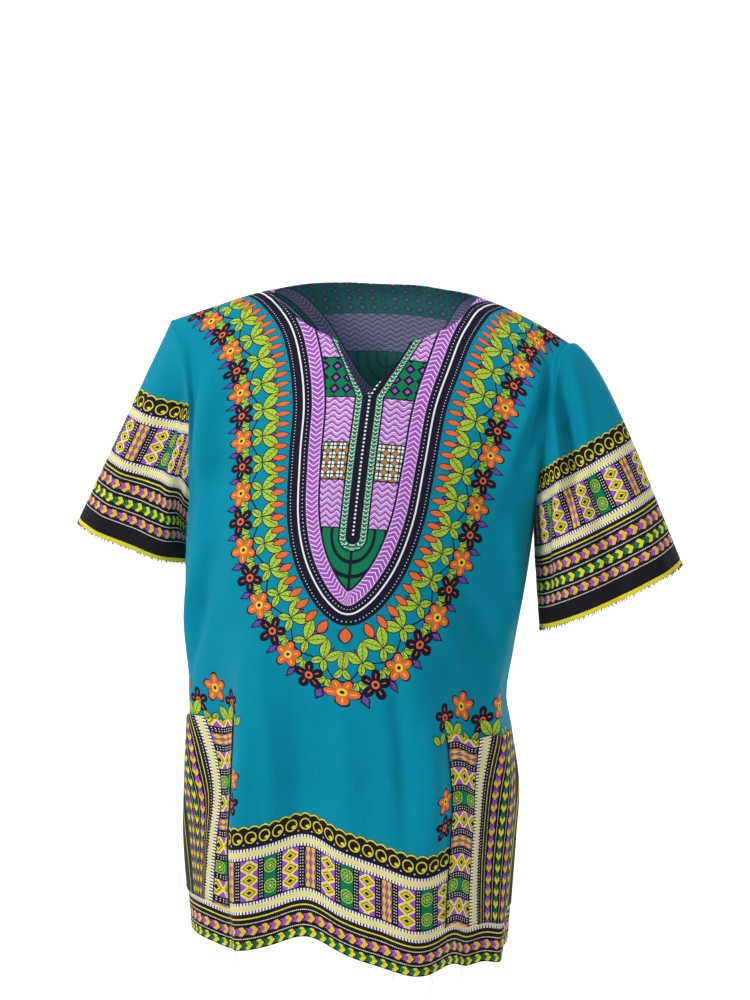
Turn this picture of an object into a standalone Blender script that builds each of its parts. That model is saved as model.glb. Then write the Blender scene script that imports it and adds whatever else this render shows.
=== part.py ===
"""A short-sleeved dashiki shirt, hanging as it does on a wearer, as closed walls of cloth.

Metres, +Z up. The front faces -Y and the wearer's left arm is towards +X. The origin lies midway between the
two neck points of the shoulder fold, where the wearer's shoulders hold the shirt. Every panel is a grid of
points on one smooth form: `across` runs from -1 at the wearer's right side to +1 at the left, and `down`
runs from 0 at the shoulder fold to 1 at the hem.
"""

from collections import namedtuple

import bpy
import numpy as np

# Cloth and sewing
WALL = 0.0012
SEAM_GAP = 0.0003

# The cut, along the cloth
LENGTH = 0.750
ARMHOLE_DEPTH = 0.262
NECK_HALF_WIDTH = 0.110
FRONT_NECK_DROP = 0.116
BACK_NECK_DROP = 0.026
SLIT_LENGTH = 0.056
SLIT_HALF_WIDTH = 0.027
POCKET_TOP = 0.515
POCKET_BOTTOM = 0.709
VENT_LENGTH = 0.110

# The hang
SHOULDER_TILT = 0.044
HEM_TILT = 0.036
BODY_DROP = 0.685
SHOULDER_FORWARD = 0.016
SHOULDER_SLIDE = -0.010
CORNER_RISE = 0.006
ARMHOLE_HALF_DEPTH = 0.050
VENT_HALF_GAP = 0.006
POCKET_SLACK = 0.0022

FRONT = -1
BACK = 1
RIGHT = -1
LEFT = 1

ARMHOLE_END = ARMHOLE_DEPTH / LENGTH
VENT_START = 1 - VENT_LENGTH / LENGTH

# One line for each level of the body: its height and depths at the middle, its half width, how far it is
# shifted sideways, how far its sides hang below its middle, and how round it is (0 is flat from side to side,
# 1 is a half ellipse).
Level = namedtuple("Level", "down height front back half_width shift side_drop roundness")
BODY = (
    Level(0.00, 0.0165, 0.000, 0.000, 0.212, 0.000, 0.060, 0.00),
    Level(0.02, 0.0158, 0.015, 0.015, 0.210, 0.000, 0.060, 0.06),
    Level(0.05, 0.0060, 0.033, 0.036, 0.203, -0.001, 0.060, 0.24),
    Level(0.10, -0.022, 0.054, 0.060, 0.195, 0.001, 0.060, 0.53),
    Level(0.16, -0.060, 0.076, 0.081, 0.189, 0.000, 0.060, 0.82),
    Level(0.24, -0.115, 0.098, 0.098, 0.186, -0.007, 0.058, 1.00),
    Level(0.32, -0.171, 0.114, 0.106, 0.185, -0.015, 0.054, 1.00),
    Level(0.42, -0.244, 0.126, 0.107, 0.182, -0.023, 0.045, 1.00),
    Level(0.55, -0.341, 0.133, 0.102, 0.174, -0.030, 0.030, 1.00),
    Level(0.64, -0.408, 0.135, 0.100, 0.170, -0.034, 0.023, 1.00),
    Level(0.70, -0.453, 0.137, 0.101, 0.174, -0.031, 0.018, 1.00),
    Level(0.77, -0.506, 0.139, 0.104, 0.179, -0.030, 0.012, 1.00),
    Level(0.85, -0.568, 0.142, 0.108, 0.179, -0.033, 0.008, 1.00),
    Level(1.00, -0.685, 0.148, 0.118, 0.171, -0.033, 0.004, 1.00),
)

# One line for each large fold: the face it is on, its place across at its top and its bottom, where it starts
# and ends down the cloth, its half width across, its height (a trough is negative), and how far the cloth
# hangs lower along it.
Fold = namedtuple("Fold", "face top_across bottom_across start end half_width height drop")
FOLDS = (
    Fold(FRONT, -0.80, -0.76, 0.02, 0.95, 0.140, 0.010, 0.000),
    Fold(FRONT, 0.80, 0.76, 0.02, 0.80, 0.140, 0.012, 0.000),
    Fold(FRONT, -0.36, -0.36, 0.45, 1.30, 0.070, 0.017, 0.000),
    Fold(FRONT, -0.54, -0.54, 0.50, 1.30, 0.090, -0.015, 0.008),
    Fold(FRONT, -0.12, -0.12, 0.55, 1.30, 0.150, -0.014, -0.020),
    Fold(FRONT, 0.26, 0.32, 0.40, 1.30, 0.140, 0.014, 0.016),
    Fold(FRONT, 0.58, 0.60, 0.40, 1.30, 0.090, -0.008, 0.014),
    Fold(FRONT, 0.76, 0.78, 0.55, 1.30, 0.090, 0.008, 0.014),
    Fold(BACK, -0.74, -0.70, 0.06, 1.25, 0.130, 0.014, 0.000),
    Fold(BACK, 0.74, 0.68, 0.06, 1.25, 0.130, 0.014, 0.004),
    Fold(BACK, -0.30, -0.36, 0.30, 1.30, 0.120, 0.012, 0.003),
    Fold(BACK, 0.22, 0.30, 0.35, 1.30, 0.130, 0.011, 0.005),
    Fold(BACK, -0.04, -0.04, 0.40, 1.30, 0.110, -0.010, 0.000),
    Fold(BACK, 0.50, 0.50, 0.45, 1.30, 0.080, -0.010, 0.000),
    Fold(BACK, -0.54, -0.54, 0.45, 1.30, 0.080, -0.010, 0.000),
)

# The open end of each sleeve: its middle, its half sizes towards the outer arm and the front, how far the top
# of the sleeve bulges, and how far its underarm stands off the body.
Cuff = namedtuple("Cuff", "side middle outward forward bulge slack")
CUFF_RIGHT = Cuff(RIGHT, (-0.272, 0.060, -0.281), (-0.068, -0.012, 0.021), (0.000, -0.054, -0.006), 0.000, 0.012)
CUFF_LEFT = Cuff(LEFT, (0.246, -0.012, -0.308), (0.075, -0.006, 0.039), (0.004, -0.060, -0.004), 0.015, 0.000)

# Folds of a sleeve: place round it (0 on the shoulder, 0.25 in front, 0.5 under the arm), start and end along
# it, half width round it, and height.
SleeveFold = namedtuple("SleeveFold", "around start end half_width height")
SLEEVE_FOLDS = (
    SleeveFold(0.20, -0.30, 0.90, 0.045, -0.012),
    SleeveFold(0.32, 0.10, 1.30, 0.045, 0.008),
    SleeveFold(0.72, -0.20, 1.10, 0.060, -0.010),
    SleeveFold(0.84, 0.20, 1.30, 0.050, 0.006),
)


def column(table, name, at):
    """A smooth curve through one named column of a table, read at `at` down the cloth."""
    places = np.array([line.down for line in table])
    values = np.array([getattr(line, name) for line in table])
    slopes = np.gradient(values, places)
    low = np.clip(np.searchsorted(places, at, side="right") - 1, 0, len(places) - 2)
    span = places[low + 1] - places[low]
    t = (at - places[low]) / span
    return (
        values[low] * (1 + 2 * t) * (1 - t) ** 2
        + slopes[low] * span * t * (1 - t) ** 2
        + values[low + 1] * t**2 * (3 - 2 * t)
        + slopes[low + 1] * span * t**2 * (t - 1)
    )


def unit(vectors):
    return vectors / np.linalg.norm(vectors, axis=-1, keepdims=True)


def ease(t):
    """0 below 0, 1 above 1, and smooth between."""
    t = np.clip(t, 0, 1)
    return t * t * (3 - 2 * t)


def fade(at, start, end):
    """A fold's strength along its run: it swells from its start and dies towards its end."""
    rise = 0.45 * (end - start)
    return ease((at - start) / rise) * ease((end - at) / rise)


def folds(face, across, down):
    """All the folds of one face: how far they stand out, and how much lower they hang."""
    height = np.zeros(np.shape(across))
    drop = np.zeros(np.shape(across))
    for fold in FOLDS:
        if fold.face != face:
            continue
        middle = fold.top_across + (fold.bottom_across - fold.top_across) * down
        strength = np.exp(-(((across - middle) / fold.half_width) ** 2)) * fade(down, fold.start, fold.end)
        height += fold.height * strength
        drop += fold.drop * strength
    edge = ease((1 - np.abs(across)) / 0.30)
    return height * edge, drop * edge


def lean(points):
    """The wearer stands with the left shoulder low: the cloth tilts more the nearer it is to the shoulders."""
    rise = (points[..., 2] + BODY_DROP) / BODY_DROP
    tilt = HEM_TILT + (SHOULDER_TILT - HEM_TILT) * rise
    tilted = points.copy()
    tilted[..., 2] -= points[..., 0] * tilt
    return tilted


def body_form(face, across, down):
    """The outer surface of the front or the back, before the lean."""
    across, down = np.broadcast_arrays(across, down)
    depth = column(BODY, "front" if face == FRONT else "back", down)
    half_width = column(BODY, "half_width", down)
    roundness = column(BODY, "roundness", down)
    arm = np.clip(down / ARMHOLE_END, 0, 1)
    edge = ARMHOLE_HALF_DEPTH * np.sin(np.pi * arm) ** 0.8 * (down < ARMHOLE_END)
    angle = across * np.pi / 2
    x = half_width * (across + (np.sin(angle) - across) * roundness)
    y = face * (edge + (depth - edge) * np.cos(angle))
    corner = across**2 * (1 - ease(down / 0.5))
    x = x + SHOULDER_SLIDE * corner
    y = y - SHOULDER_FORWARD * corner
    z = column(BODY, "height", down) - column(BODY, "side_drop", down) * across**2
    z = z + CORNER_RISE * np.clip(-across, 0, 1) ** 8 * (1 - ease(down / 0.3))
    lift, drop = folds(face, across, down)
    z = z - drop
    x = x + column(BODY, "shift", down) + lift * np.sin(angle)
    y = y + face * lift * np.cos(angle)
    vent = ease((down - VENT_START) / (1 - VENT_START))
    y = y + face * (SEAM_GAP / 2 + VENT_HALF_GAP * vent * np.abs(across) ** 8)
    return np.stack([x, y, z], axis=-1)


def body_points(face, across, down):
    return lean(body_form(face, across, down))


def outward(surface, across, down, face):
    """Unit directions out of a surface, from its slopes along and across."""
    step = 0.002
    low_a, high_a = np.clip(across - step, -1, 1), np.clip(across + step, -1, 1)
    low_d, high_d = np.clip(down - step, 0, 1), np.clip(down + step, 0, 1)
    along_a = surface(face, high_a, down) - surface(face, low_a, down)
    along_d = surface(face, across, high_d) - surface(face, across, low_d)
    return unit(face * np.cross(along_a, along_d))


def neck_edge(across, drop):
    """How far down the cloth the neckline lies at this place across, as a share of the length."""
    half = NECK_HALF_WIDTH / column(BODY, "half_width", np.array(0.0))
    inside = np.clip(1 - (np.abs(across) / half) ** 1.6, 0, 1)
    return drop / LENGTH * inside**0.625


def front_neck(across):
    """The front neckline with its slit, a narrow open V."""
    half = SLIT_HALF_WIDTH / column(BODY, "half_width", np.array(0.15))
    slit = np.clip(1 - np.abs(across) / half, 0, 1) ** 0.85
    return neck_edge(across, FRONT_NECK_DROP) + SLIT_LENGTH / LENGTH * slit


def back_neck(across):
    return neck_edge(across, BACK_NECK_DROP)


NECK_ACROSS = NECK_HALF_WIDTH / BODY[0].half_width
SLIT_ACROSS = SLIT_HALF_WIDTH / 0.190
POCKET_ACROSS = 0.43
POCKET_END = 0.985


def half_columns(*runs):
    """Places across one half, from 0 to 1, from runs of (start, end, number of steps), and their mirror."""
    places = [np.linspace(start, end, steps, endpoint=False) for start, end, steps in runs]
    places = np.concatenate([*places, [1.0]])
    return np.concatenate([-places[:0:-1], places])


FRONT_COLUMNS = half_columns(
    (0, SLIT_ACROSS, 2),
    (SLIT_ACROSS, POCKET_ACROSS, 5),
    (POCKET_ACROSS, NECK_ACROSS, 1),
    (NECK_ACROSS, POCKET_END, 8),
    (POCKET_END, 1, 1),
)
BACK_COLUMNS = half_columns((0, NECK_ACROSS, 6), (NECK_ACROSS, 1, 8))
UPPER_STEPS = 11
UPPER_ROWS = np.linspace(0, 1, UPPER_STEPS + 1) ** 1.15
SLEEVE_STEPS = 8
POCKET_ROWS = np.linspace(POCKET_TOP / LENGTH, POCKET_BOTTOM / LENGTH, 7)
LOWER_ROWS = np.concatenate(
    [np.linspace(ARMHOLE_END, POCKET_ROWS[0], 8)[1:-1], POCKET_ROWS, [0.972, 1.0]]
)


def seam_directions(direction, across, down):
    """At the shoulder fold and the side seams a panel's wall stands square to the other panel's edge."""
    seam = (down == 0) | ((np.abs(across) == 1) & (down > ARMHOLE_END - 1e-9))
    flat = direction.copy()
    flat[seam, 1] = 0
    return unit(flat)


def panel(face, across, down):
    """Points of a body panel and the directions out of it."""
    direction = outward(body_points, across, down, face)
    return body_points(face, across, down), seam_directions(direction, across, down)


def panel_places(columns, neck):
    """Places of a panel's points, row by row from its neckline and shoulder to its hem."""
    top = neck(columns)
    upper = top + (ARMHOLE_END - top) * UPPER_ROWS[:, None]
    lower = LOWER_ROWS[:, None] + 0 * columns
    down = np.concatenate([upper, lower])
    return columns + 0 * down, down


def grid_directions(grid, side):
    """Directions out of a sleeve, from its slopes along and round it."""
    slope_round = np.roll(grid, -1, axis=1) - np.roll(grid, 1, axis=1)
    slope_along = np.gradient(grid, axis=0)
    return unit(-side * np.cross(slope_along, slope_round))


def armhole_ring(side):
    """Points of the body round an armhole, from the shoulder by the front, and directions into its cloth."""
    down = UPPER_ROWS * ARMHOLE_END
    edge = side * np.ones_like(down)
    front, back = panel(FRONT, edge, down), panel(BACK, edge, down)
    points, out = (
        np.concatenate([[(f[0] + b[0]) / 2], f[1:-1], [(f[-1] + b[-1]) / 2], b[-2:0:-1]])
        for f, b in zip(front, back)
    )
    tangent = np.roll(points, -1, axis=0) - np.roll(points, 1, axis=0)
    return points, unit(-side * np.cross(out, tangent))


def sleeve_grid(side, middle, outward_half, forward_half, bulge, slack):
    """Points of a sleeve from the armhole seam to the open cuff, and the directions out of it."""
    ring, into_body = armhole_ring(side)
    around = np.arange(2 * UPPER_STEPS) / (2 * UPPER_STEPS)
    turn = around * 2 * np.pi
    cuff = np.array(middle) + np.outer(np.cos(turn), outward_half) + np.outer(np.sin(turn), forward_half)
    along = np.linspace(0, 1, SLEEVE_STEPS + 1)[:, None]
    grid = ring + (lean(cuff) - ring) * along[..., None]
    swell = bulge * np.sin(np.pi * along**0.5) * np.clip(np.cos(turn), 0, 1) ** 2
    grid = grid + swell[..., None] * np.array([side * 0.8, 0, 0.6])
    under = slack * np.sin(np.pi * along) * np.clip(-np.cos(turn), 0, 1)
    grid = grid + under[..., None] * np.array([side, 0, 0])
    direction = grid_directions(grid, side)
    for fold in SLEEVE_FOLDS:
        bump = np.exp(-(((around - fold.around) / fold.half_width) ** 2))
        strength = fade(along, fold.start, fold.end) * ease(along / 0.2)
        grid = grid + (fold.height * bump * strength)[..., None] * direction
    grid[0] = grid[0] + SEAM_GAP * unit(unit(grid[1] - grid[0]) - into_body)
    direction = grid_directions(grid, side)
    overlap = np.clip(-np.sum(direction[0] * into_body, axis=-1, keepdims=True), 0, None)
    direction[0] = unit(direction[0] + overlap * into_body)
    return grid, direction


def wall(outer, direction, wrap=False):
    """Vertices and faces of a closed wall: a grid of outer points, and the same points moved in by its thickness."""
    rows, columns = outer.shape[:2]
    inner = outer - WALL * direction
    vertices = np.concatenate([outer.reshape(-1, 3), inner.reshape(-1, 3)])
    number = np.arange(rows * columns).reshape(rows, columns)
    if wrap:
        number = np.concatenate([number, number[:, :1]], axis=1)
    a, b = number[:-1, :-1].ravel(), number[:-1, 1:].ravel()
    c, d = number[1:, 1:].ravel(), number[1:, :-1].ravel()
    under = rows * columns
    faces = [np.stack([a, d, c, b], 1), under + np.stack([a, b, c, d], 1)]
    rims = [number[0, ::-1], number[-1]]
    if not wrap:
        rims += [number[:, 0], number[::-1, -1]]
    for rim in rims:
        start, end = rim[:-1], rim[1:]
        faces.append(np.stack([start, start + under, end + under, end], 1))
    return vertices, np.concatenate(faces)


def material(name, colour, roughness):
    made = bpy.data.materials.new(name)
    made.use_nodes = True
    shader = made.node_tree.nodes["Principled BSDF"]
    shader.inputs["Base Color"].default_value = (*colour, 1.0)
    shader.inputs["Roughness"].default_value = roughness
    shader.inputs["Metallic"].default_value = 0.0
    return made


def add_solid(name, outer, direction, cloth, wrap=False, turned=False):
    """Makes the named object. A grid that runs the other way round has its faces turned."""
    vertices, faces = wall(outer, direction, wrap)
    if turned:
        faces = faces[:, ::-1]
    mesh = bpy.data.meshes.new(name)
    mesh.from_pydata(vertices.tolist(), [], faces.tolist())
    mesh.materials.append(cloth)
    mesh.shade_smooth()
    mesh.set_sharp_from_angle(angle=np.radians(50))
    made = bpy.data.objects.new(name, mesh)
    bpy.context.scene.collection.objects.link(made)
    return made


def clear_scene():
    for old in list(bpy.data.objects):
        bpy.data.objects.remove(old)


def build_body(cloth):
    for name, face, columns, neck in (
        ("front", FRONT, FRONT_COLUMNS, front_neck),
        ("back", BACK, BACK_COLUMNS, back_neck),
    ):
        points, out = panel(face, *panel_places(columns, neck))
        add_solid(name, points, out, cloth, turned=face == BACK)


def build_sleeves(cloth):
    for name, cuff in (("sleeve_right", CUFF_RIGHT), ("sleeve_left", CUFF_LEFT)):
        points, out = sleeve_grid(*cuff)
        add_solid(name, points, out, cloth, wrap=True, turned=cuff.side == LEFT)


def build_pockets(cloth):
    """Each pocket takes the front's own points between its edges, moved out by the gap and its own wall."""
    across, down = panel_places(FRONT_COLUMNS, front_neck)
    points, out = panel(FRONT, across, down)
    rows = np.flatnonzero(
        (down[:, 0] > POCKET_ROWS[0] - 1e-6) & (down[:, 0] < POCKET_ROWS[-1] + 1e-6)
    )
    for name, side in (("pocket_right", RIGHT), ("pocket_left", LEFT)):
        place = side * FRONT_COLUMNS
        columns = np.flatnonzero((place > POCKET_ACROSS - 1e-6) & (place < POCKET_END + 1e-6))
        patch = np.ix_(rows, columns)
        t = (down[patch] - POCKET_ROWS[0]) / (POCKET_ROWS[-1] - POCKET_ROWS[0])
        s = (place[columns] - POCKET_ACROSS) / (POCKET_END - POCKET_ACROSS)
        slack = POCKET_SLACK * (1 - t) ** 2 * np.sin(np.pi * s)
        offset = SEAM_GAP + WALL + slack
        add_solid(name, points[patch] + offset[..., None] * out[patch], out[patch], cloth)


def main():
    clear_scene()
    teal = material("printed_cotton_teal", (0.005, 0.270, 0.400), 0.75)
    border = material("printed_cotton_border", (0.030, 0.022, 0.035), 0.75)
    build_body(teal)
    build_sleeves(teal)
    build_pockets(border)


main()
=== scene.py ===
# %% [markdown]
# # A dashiki shirt in printed cotton
#
# The shirt hangs as it does on a wearer. Each cell makes one thing: first the frame and the camera, then
# the form of the cloth, then the printed materials, and then the pieces: back, front, sleeves, pockets and
# threads.

from collections import namedtuple

import bpy
import numpy as np
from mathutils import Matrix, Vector


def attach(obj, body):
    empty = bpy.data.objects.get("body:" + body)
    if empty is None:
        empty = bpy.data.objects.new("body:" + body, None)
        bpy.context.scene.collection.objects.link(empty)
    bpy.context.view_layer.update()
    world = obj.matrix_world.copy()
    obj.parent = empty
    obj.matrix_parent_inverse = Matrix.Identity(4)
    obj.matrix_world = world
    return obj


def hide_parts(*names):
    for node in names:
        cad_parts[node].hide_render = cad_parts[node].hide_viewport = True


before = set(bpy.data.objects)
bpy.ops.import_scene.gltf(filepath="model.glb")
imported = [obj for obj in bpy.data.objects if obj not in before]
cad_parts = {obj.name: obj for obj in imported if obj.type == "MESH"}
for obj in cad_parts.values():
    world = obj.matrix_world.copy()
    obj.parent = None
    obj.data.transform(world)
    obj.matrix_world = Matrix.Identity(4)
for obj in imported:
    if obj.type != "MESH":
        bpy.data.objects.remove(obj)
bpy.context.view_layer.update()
MM = 0.001

# %% [markdown]
# ## The camera
#
# The photograph was taken from about chest height, 2.6 m in front of the shirt and a little to its left
# side. A camera could be turned by hand until the picture looks right. Here its place and focal length are
# named values, set so that the render and the photograph can be laid over each other. The shirt fills the
# lower part of the frame.

# %% Camera
CAMERA_AZIMUTH = 6.0
CAMERA_DISTANCE = 2.6
CAMERA_HEIGHT = -0.06
AIM = Vector((0.0, 0.0, -0.22))
FOCAL_PIXELS = 2430.0
IMAGE_WIDTH, IMAGE_HEIGHT = 750, 1000
AIM_PIXEL = (380, 500)


def add_object(name, data):
    """Puts a mesh, lamp or camera into the scene as an object of its own."""
    made = bpy.data.objects.new(name, data)
    bpy.context.scene.collection.objects.link(made)
    return made


camera_data = bpy.data.cameras.new("camera")
camera = add_object("camera", camera_data)
turn = np.radians(CAMERA_AZIMUTH)
camera.location = AIM + Vector((CAMERA_DISTANCE * np.sin(turn), -CAMERA_DISTANCE * np.cos(turn), 0))
camera.location.z = CAMERA_HEIGHT
camera.rotation_euler = (AIM - camera.location).to_track_quat("-Z", "Y").to_euler()
camera_data.sensor_fit = "VERTICAL"
camera_data.sensor_height = 36.0
camera_data.lens = FOCAL_PIXELS / IMAGE_HEIGHT * camera_data.sensor_height
camera_data.shift_x = (IMAGE_WIDTH / 2 - AIM_PIXEL[0]) / IMAGE_HEIGHT
camera_data.shift_y = (AIM_PIXEL[1] - IMAGE_HEIGHT / 2) / IMAGE_HEIGHT
camera_data.clip_end = 50
bpy.context.scene.camera = camera
print("camera at", tuple(round(c, 3) for c in camera.location))

# %% [markdown]
# ## The form of the body
#
# A dashiki is a length of cloth folded over the shoulders, with straight sleeves sewn to its sides. It
# could be draped by a cloth simulation, but then its sizes would be hard to set. So the body is one smooth
# form, with the values that the CAD solids have: `across` runs from -1 at the wearer's right side seam to
# +1 at the left, and `down` runs from 0 at the shoulder fold to 1 at the hem. A table of levels gives its
# height, depths and width, and a table of folds lays the large folds on it.

# %% Values of the form
FRONT, BACK = -1, 1
RIGHT, LEFT = -1, 1
THICKNESS = 0.0011
SEAM_GAP = 0.0003
LENGTH = 0.750
ARMHOLE_END = 0.262 / LENGTH
VENT_START = 1 - 0.110 / LENGTH
SHOULDER_TILT = 0.044
HEM_TILT = 0.036
BODY_DROP = 0.685
SHOULDER_FORWARD = 0.016
SHOULDER_SLIDE = -0.010
CORNER_RISE = 0.006
ARMHOLE_HALF_DEPTH = 0.050
VENT_HALF_GAP = 0.006

Level = namedtuple("Level", "down height front back half_width shift side_drop roundness")
BODY = (
    Level(0.00, 0.0165, 0.000, 0.000, 0.212, 0.000, 0.060, 0.00),
    Level(0.02, 0.0158, 0.015, 0.015, 0.210, 0.000, 0.060, 0.06),
    Level(0.05, 0.0060, 0.033, 0.036, 0.203, -0.001, 0.060, 0.24),
    Level(0.10, -0.022, 0.054, 0.060, 0.195, 0.001, 0.060, 0.53),
    Level(0.16, -0.060, 0.076, 0.081, 0.189, 0.000, 0.060, 0.82),
    Level(0.24, -0.115, 0.098, 0.098, 0.186, -0.007, 0.058, 1.00),
    Level(0.32, -0.171, 0.114, 0.106, 0.185, -0.015, 0.054, 1.00),
    Level(0.42, -0.244, 0.126, 0.107, 0.182, -0.023, 0.045, 1.00),
    Level(0.55, -0.341, 0.133, 0.102, 0.174, -0.030, 0.030, 1.00),
    Level(0.64, -0.408, 0.135, 0.100, 0.170, -0.034, 0.023, 1.00),
    Level(0.70, -0.453, 0.137, 0.101, 0.174, -0.031, 0.018, 1.00),
    Level(0.77, -0.506, 0.139, 0.104, 0.179, -0.030, 0.012, 1.00),
    Level(0.85, -0.568, 0.142, 0.108, 0.179, -0.033, 0.008, 1.00),
    Level(1.00, -0.685, 0.148, 0.118, 0.171, -0.033, 0.004, 1.00),
)

Fold = namedtuple("Fold", "face top_across bottom_across start end half_width height drop")
FOLDS = (
    Fold(FRONT, -0.80, -0.76, 0.02, 0.95, 0.140, 0.010, 0.000),
    Fold(FRONT, 0.80, 0.76, 0.02, 0.80, 0.140, 0.012, 0.000),
    Fold(FRONT, -0.36, -0.36, 0.45, 1.30, 0.070, 0.017, 0.000),
    Fold(FRONT, -0.54, -0.54, 0.50, 1.30, 0.090, -0.015, 0.008),
    Fold(FRONT, -0.12, -0.12, 0.55, 1.30, 0.150, -0.014, -0.020),
    Fold(FRONT, 0.26, 0.32, 0.40, 1.30, 0.140, 0.014, 0.016),
    Fold(FRONT, 0.58, 0.60, 0.40, 1.30, 0.090, -0.008, 0.014),
    Fold(FRONT, 0.76, 0.78, 0.55, 1.30, 0.090, 0.008, 0.014),
    Fold(BACK, -0.74, -0.70, 0.06, 1.25, 0.130, 0.014, 0.000),
    Fold(BACK, 0.74, 0.68, 0.06, 1.25, 0.130, 0.014, 0.004),
    Fold(BACK, -0.30, -0.36, 0.30, 1.30, 0.120, 0.012, 0.003),
    Fold(BACK, 0.22, 0.30, 0.35, 1.30, 0.130, 0.011, 0.005),
    Fold(BACK, -0.04, -0.04, 0.40, 1.30, 0.110, -0.010, 0.000),
    Fold(BACK, 0.50, 0.50, 0.45, 1.30, 0.080, -0.010, 0.000),
    Fold(BACK, -0.54, -0.54, 0.45, 1.30, 0.080, -0.010, 0.000),
)
print("the form has", len(BODY), "levels and", len(FOLDS), "large folds")

# %% [markdown]
# ## Smooth curves through the tables
#
# A column of the table becomes a smooth curve. Straight lines between the levels would be simpler, but each
# level would then show as a ring round the cloth.

# %% Curves


def column(table, name, at):
    """A smooth curve through one named column of a table, read at `at` down the cloth."""
    places = np.array([line.down for line in table])
    values = np.array([getattr(line, name) for line in table])
    slopes = np.gradient(values, places)
    low = np.clip(np.searchsorted(places, at, side="right") - 1, 0, len(places) - 2)
    span = places[low + 1] - places[low]
    t = (at - places[low]) / span
    return (
        values[low] * (1 + 2 * t) * (1 - t) ** 2
        + slopes[low] * span * t * (1 - t) ** 2
        + values[low + 1] * t**2 * (3 - 2 * t)
        + slopes[low + 1] * span * t**2 * (t - 1)
    )


def unit(vectors):
    return vectors / np.linalg.norm(vectors, axis=-1, keepdims=True)


def ease(t):
    """0 below 0, 1 above 1, and smooth between."""
    t = np.clip(t, 0, 1)
    return t * t * (3 - 2 * t)


print("half width at the underarm, m:", round(float(column(BODY, "half_width", np.array(ARMHOLE_END))), 3))

# %% [markdown]
# ## Folds and the lean of the shoulders
#
# Cloth that hangs from the shoulders falls in long soft folds. Each one swells and dies along its run, so
# none starts with an edge. The shirt hangs with its left shoulder low, and the whole cloth leans with it.

# %% Folds and lean


def fade(at, start, end):
    """A fold's strength along its run: it swells from its start and dies towards its end."""
    rise = 0.45 * (end - start)
    return ease((at - start) / rise) * ease((end - at) / rise)


def folds(face, across, down):
    """All the folds of one face: how far they stand out, and how much lower they hang."""
    height = np.zeros(np.shape(across))
    drop = np.zeros(np.shape(across))
    for fold in FOLDS:
        if fold.face != face:
            continue
        middle = fold.top_across + (fold.bottom_across - fold.top_across) * down
        strength = np.exp(-(((across - middle) / fold.half_width) ** 2)) * fade(down, fold.start, fold.end)
        height += fold.height * strength
        drop += fold.drop * strength
    edge = ease((1 - np.abs(across)) / 0.30)
    return height * edge, drop * edge


def lean(points):
    """Tilts the cloth towards the low left shoulder, more so the nearer it is to the shoulders."""
    rise = (points[..., 2] + BODY_DROP) / BODY_DROP
    tilt = HEM_TILT + (SHOULDER_TILT - HEM_TILT) * rise
    tilted = points.copy()
    tilted[..., 2] -= points[..., 0] * tilt
    return tilted


# %% [markdown]
# ## The surface of the body
#
# Front and back meet at the side seams with a hair's gap and part at the armholes and at the vents. Every
# later piece, the print and the stitches take their places from this one function, so they fit one another.

# %% The surface of the body


def body_points(face, across, down):
    """The outer surface of the front or the back."""
    across, down = np.broadcast_arrays(across, down)
    depth = column(BODY, "front" if face == FRONT else "back", down)
    half_width = column(BODY, "half_width", down)
    roundness = column(BODY, "roundness", down)
    arm = np.clip(down / ARMHOLE_END, 0, 1)
    # The solids open the armhole down to a point. Here its edges close softly, up to 6.5 mm off the solids.
    closing = ease((1.05 - arm) / 0.22) * (down < ARMHOLE_END)
    edge = ARMHOLE_HALF_DEPTH * np.sin(np.pi * arm) ** 0.8 * closing
    angle = across * np.pi / 2
    x = half_width * (across + (np.sin(angle) - across) * roundness)
    y = face * (edge + (depth - edge) * np.cos(angle))
    corner = across**2 * (1 - ease(down / 0.5))
    x = x + SHOULDER_SLIDE * corner
    y = y - SHOULDER_FORWARD * corner
    z = column(BODY, "height", down) - column(BODY, "side_drop", down) * across**2
    z = z + CORNER_RISE * np.clip(-across, 0, 1) ** 8 * (1 - ease(down / 0.3))
    lift, drop = folds(face, across, down)
    z = z - drop
    x = x + column(BODY, "shift", down) + lift * np.sin(angle)
    y = y + face * lift * np.cos(angle)
    vent = ease((down - VENT_START) / (1 - VENT_START))
    y = y + face * (SEAM_GAP / 2 + VENT_HALF_GAP * vent * np.abs(across) ** 8)
    return lean(np.stack([x, y, z], axis=-1))


def outward(face, across, down):
    """Unit directions out of the body, from its slopes along and across. Seams stand square to each other."""
    step = 0.002
    low_a, high_a = np.clip(across - step, -1, 1), np.clip(across + step, -1, 1)
    low_d, high_d = np.clip(down - step, 0, 1), np.clip(down + step, 0, 1)
    along_a = body_points(face, high_a, down) - body_points(face, low_a, down)
    along_d = body_points(face, across, high_d) - body_points(face, across, low_d)
    direction = face * np.cross(along_a, along_d)
    seam = (down == 0) | ((np.abs(across) == 1) & (down > ARMHOLE_END - 1e-9))
    direction[seam, 1] = 0
    return unit(direction)


# %% [markdown]
# ## The necklines
#
# The neck hole is cut round, shallow behind and deep in front, and a slit runs down from its middle. A
# boolean could cut the hole, but its edge would cross the cells of the cloth. So each neckline is a formula
# that says how far down the cloth begins.

# %% The necklines
NECK_HALF_WIDTH = 0.110
FRONT_NECK_DROP = 0.116
BACK_NECK_DROP = 0.026
SLIT_LENGTH = 0.056
SLIT_HALF_WIDTH = 0.027


def neck_edge(across, drop):
    half = NECK_HALF_WIDTH / column(BODY, "half_width", np.array(0.0))
    inside = np.clip(1 - (np.abs(across) / half) ** 1.6, 0, 1)
    return drop / LENGTH * inside**0.625


def front_neck(across):
    """The front neckline with its slit, a narrow open V."""
    half = SLIT_HALF_WIDTH / column(BODY, "half_width", np.array(0.15))
    slit = np.clip(1 - np.abs(across) / half, 0, 1) ** 0.85
    return neck_edge(across, FRONT_NECK_DROP) + SLIT_LENGTH / LENGTH * slit


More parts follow.
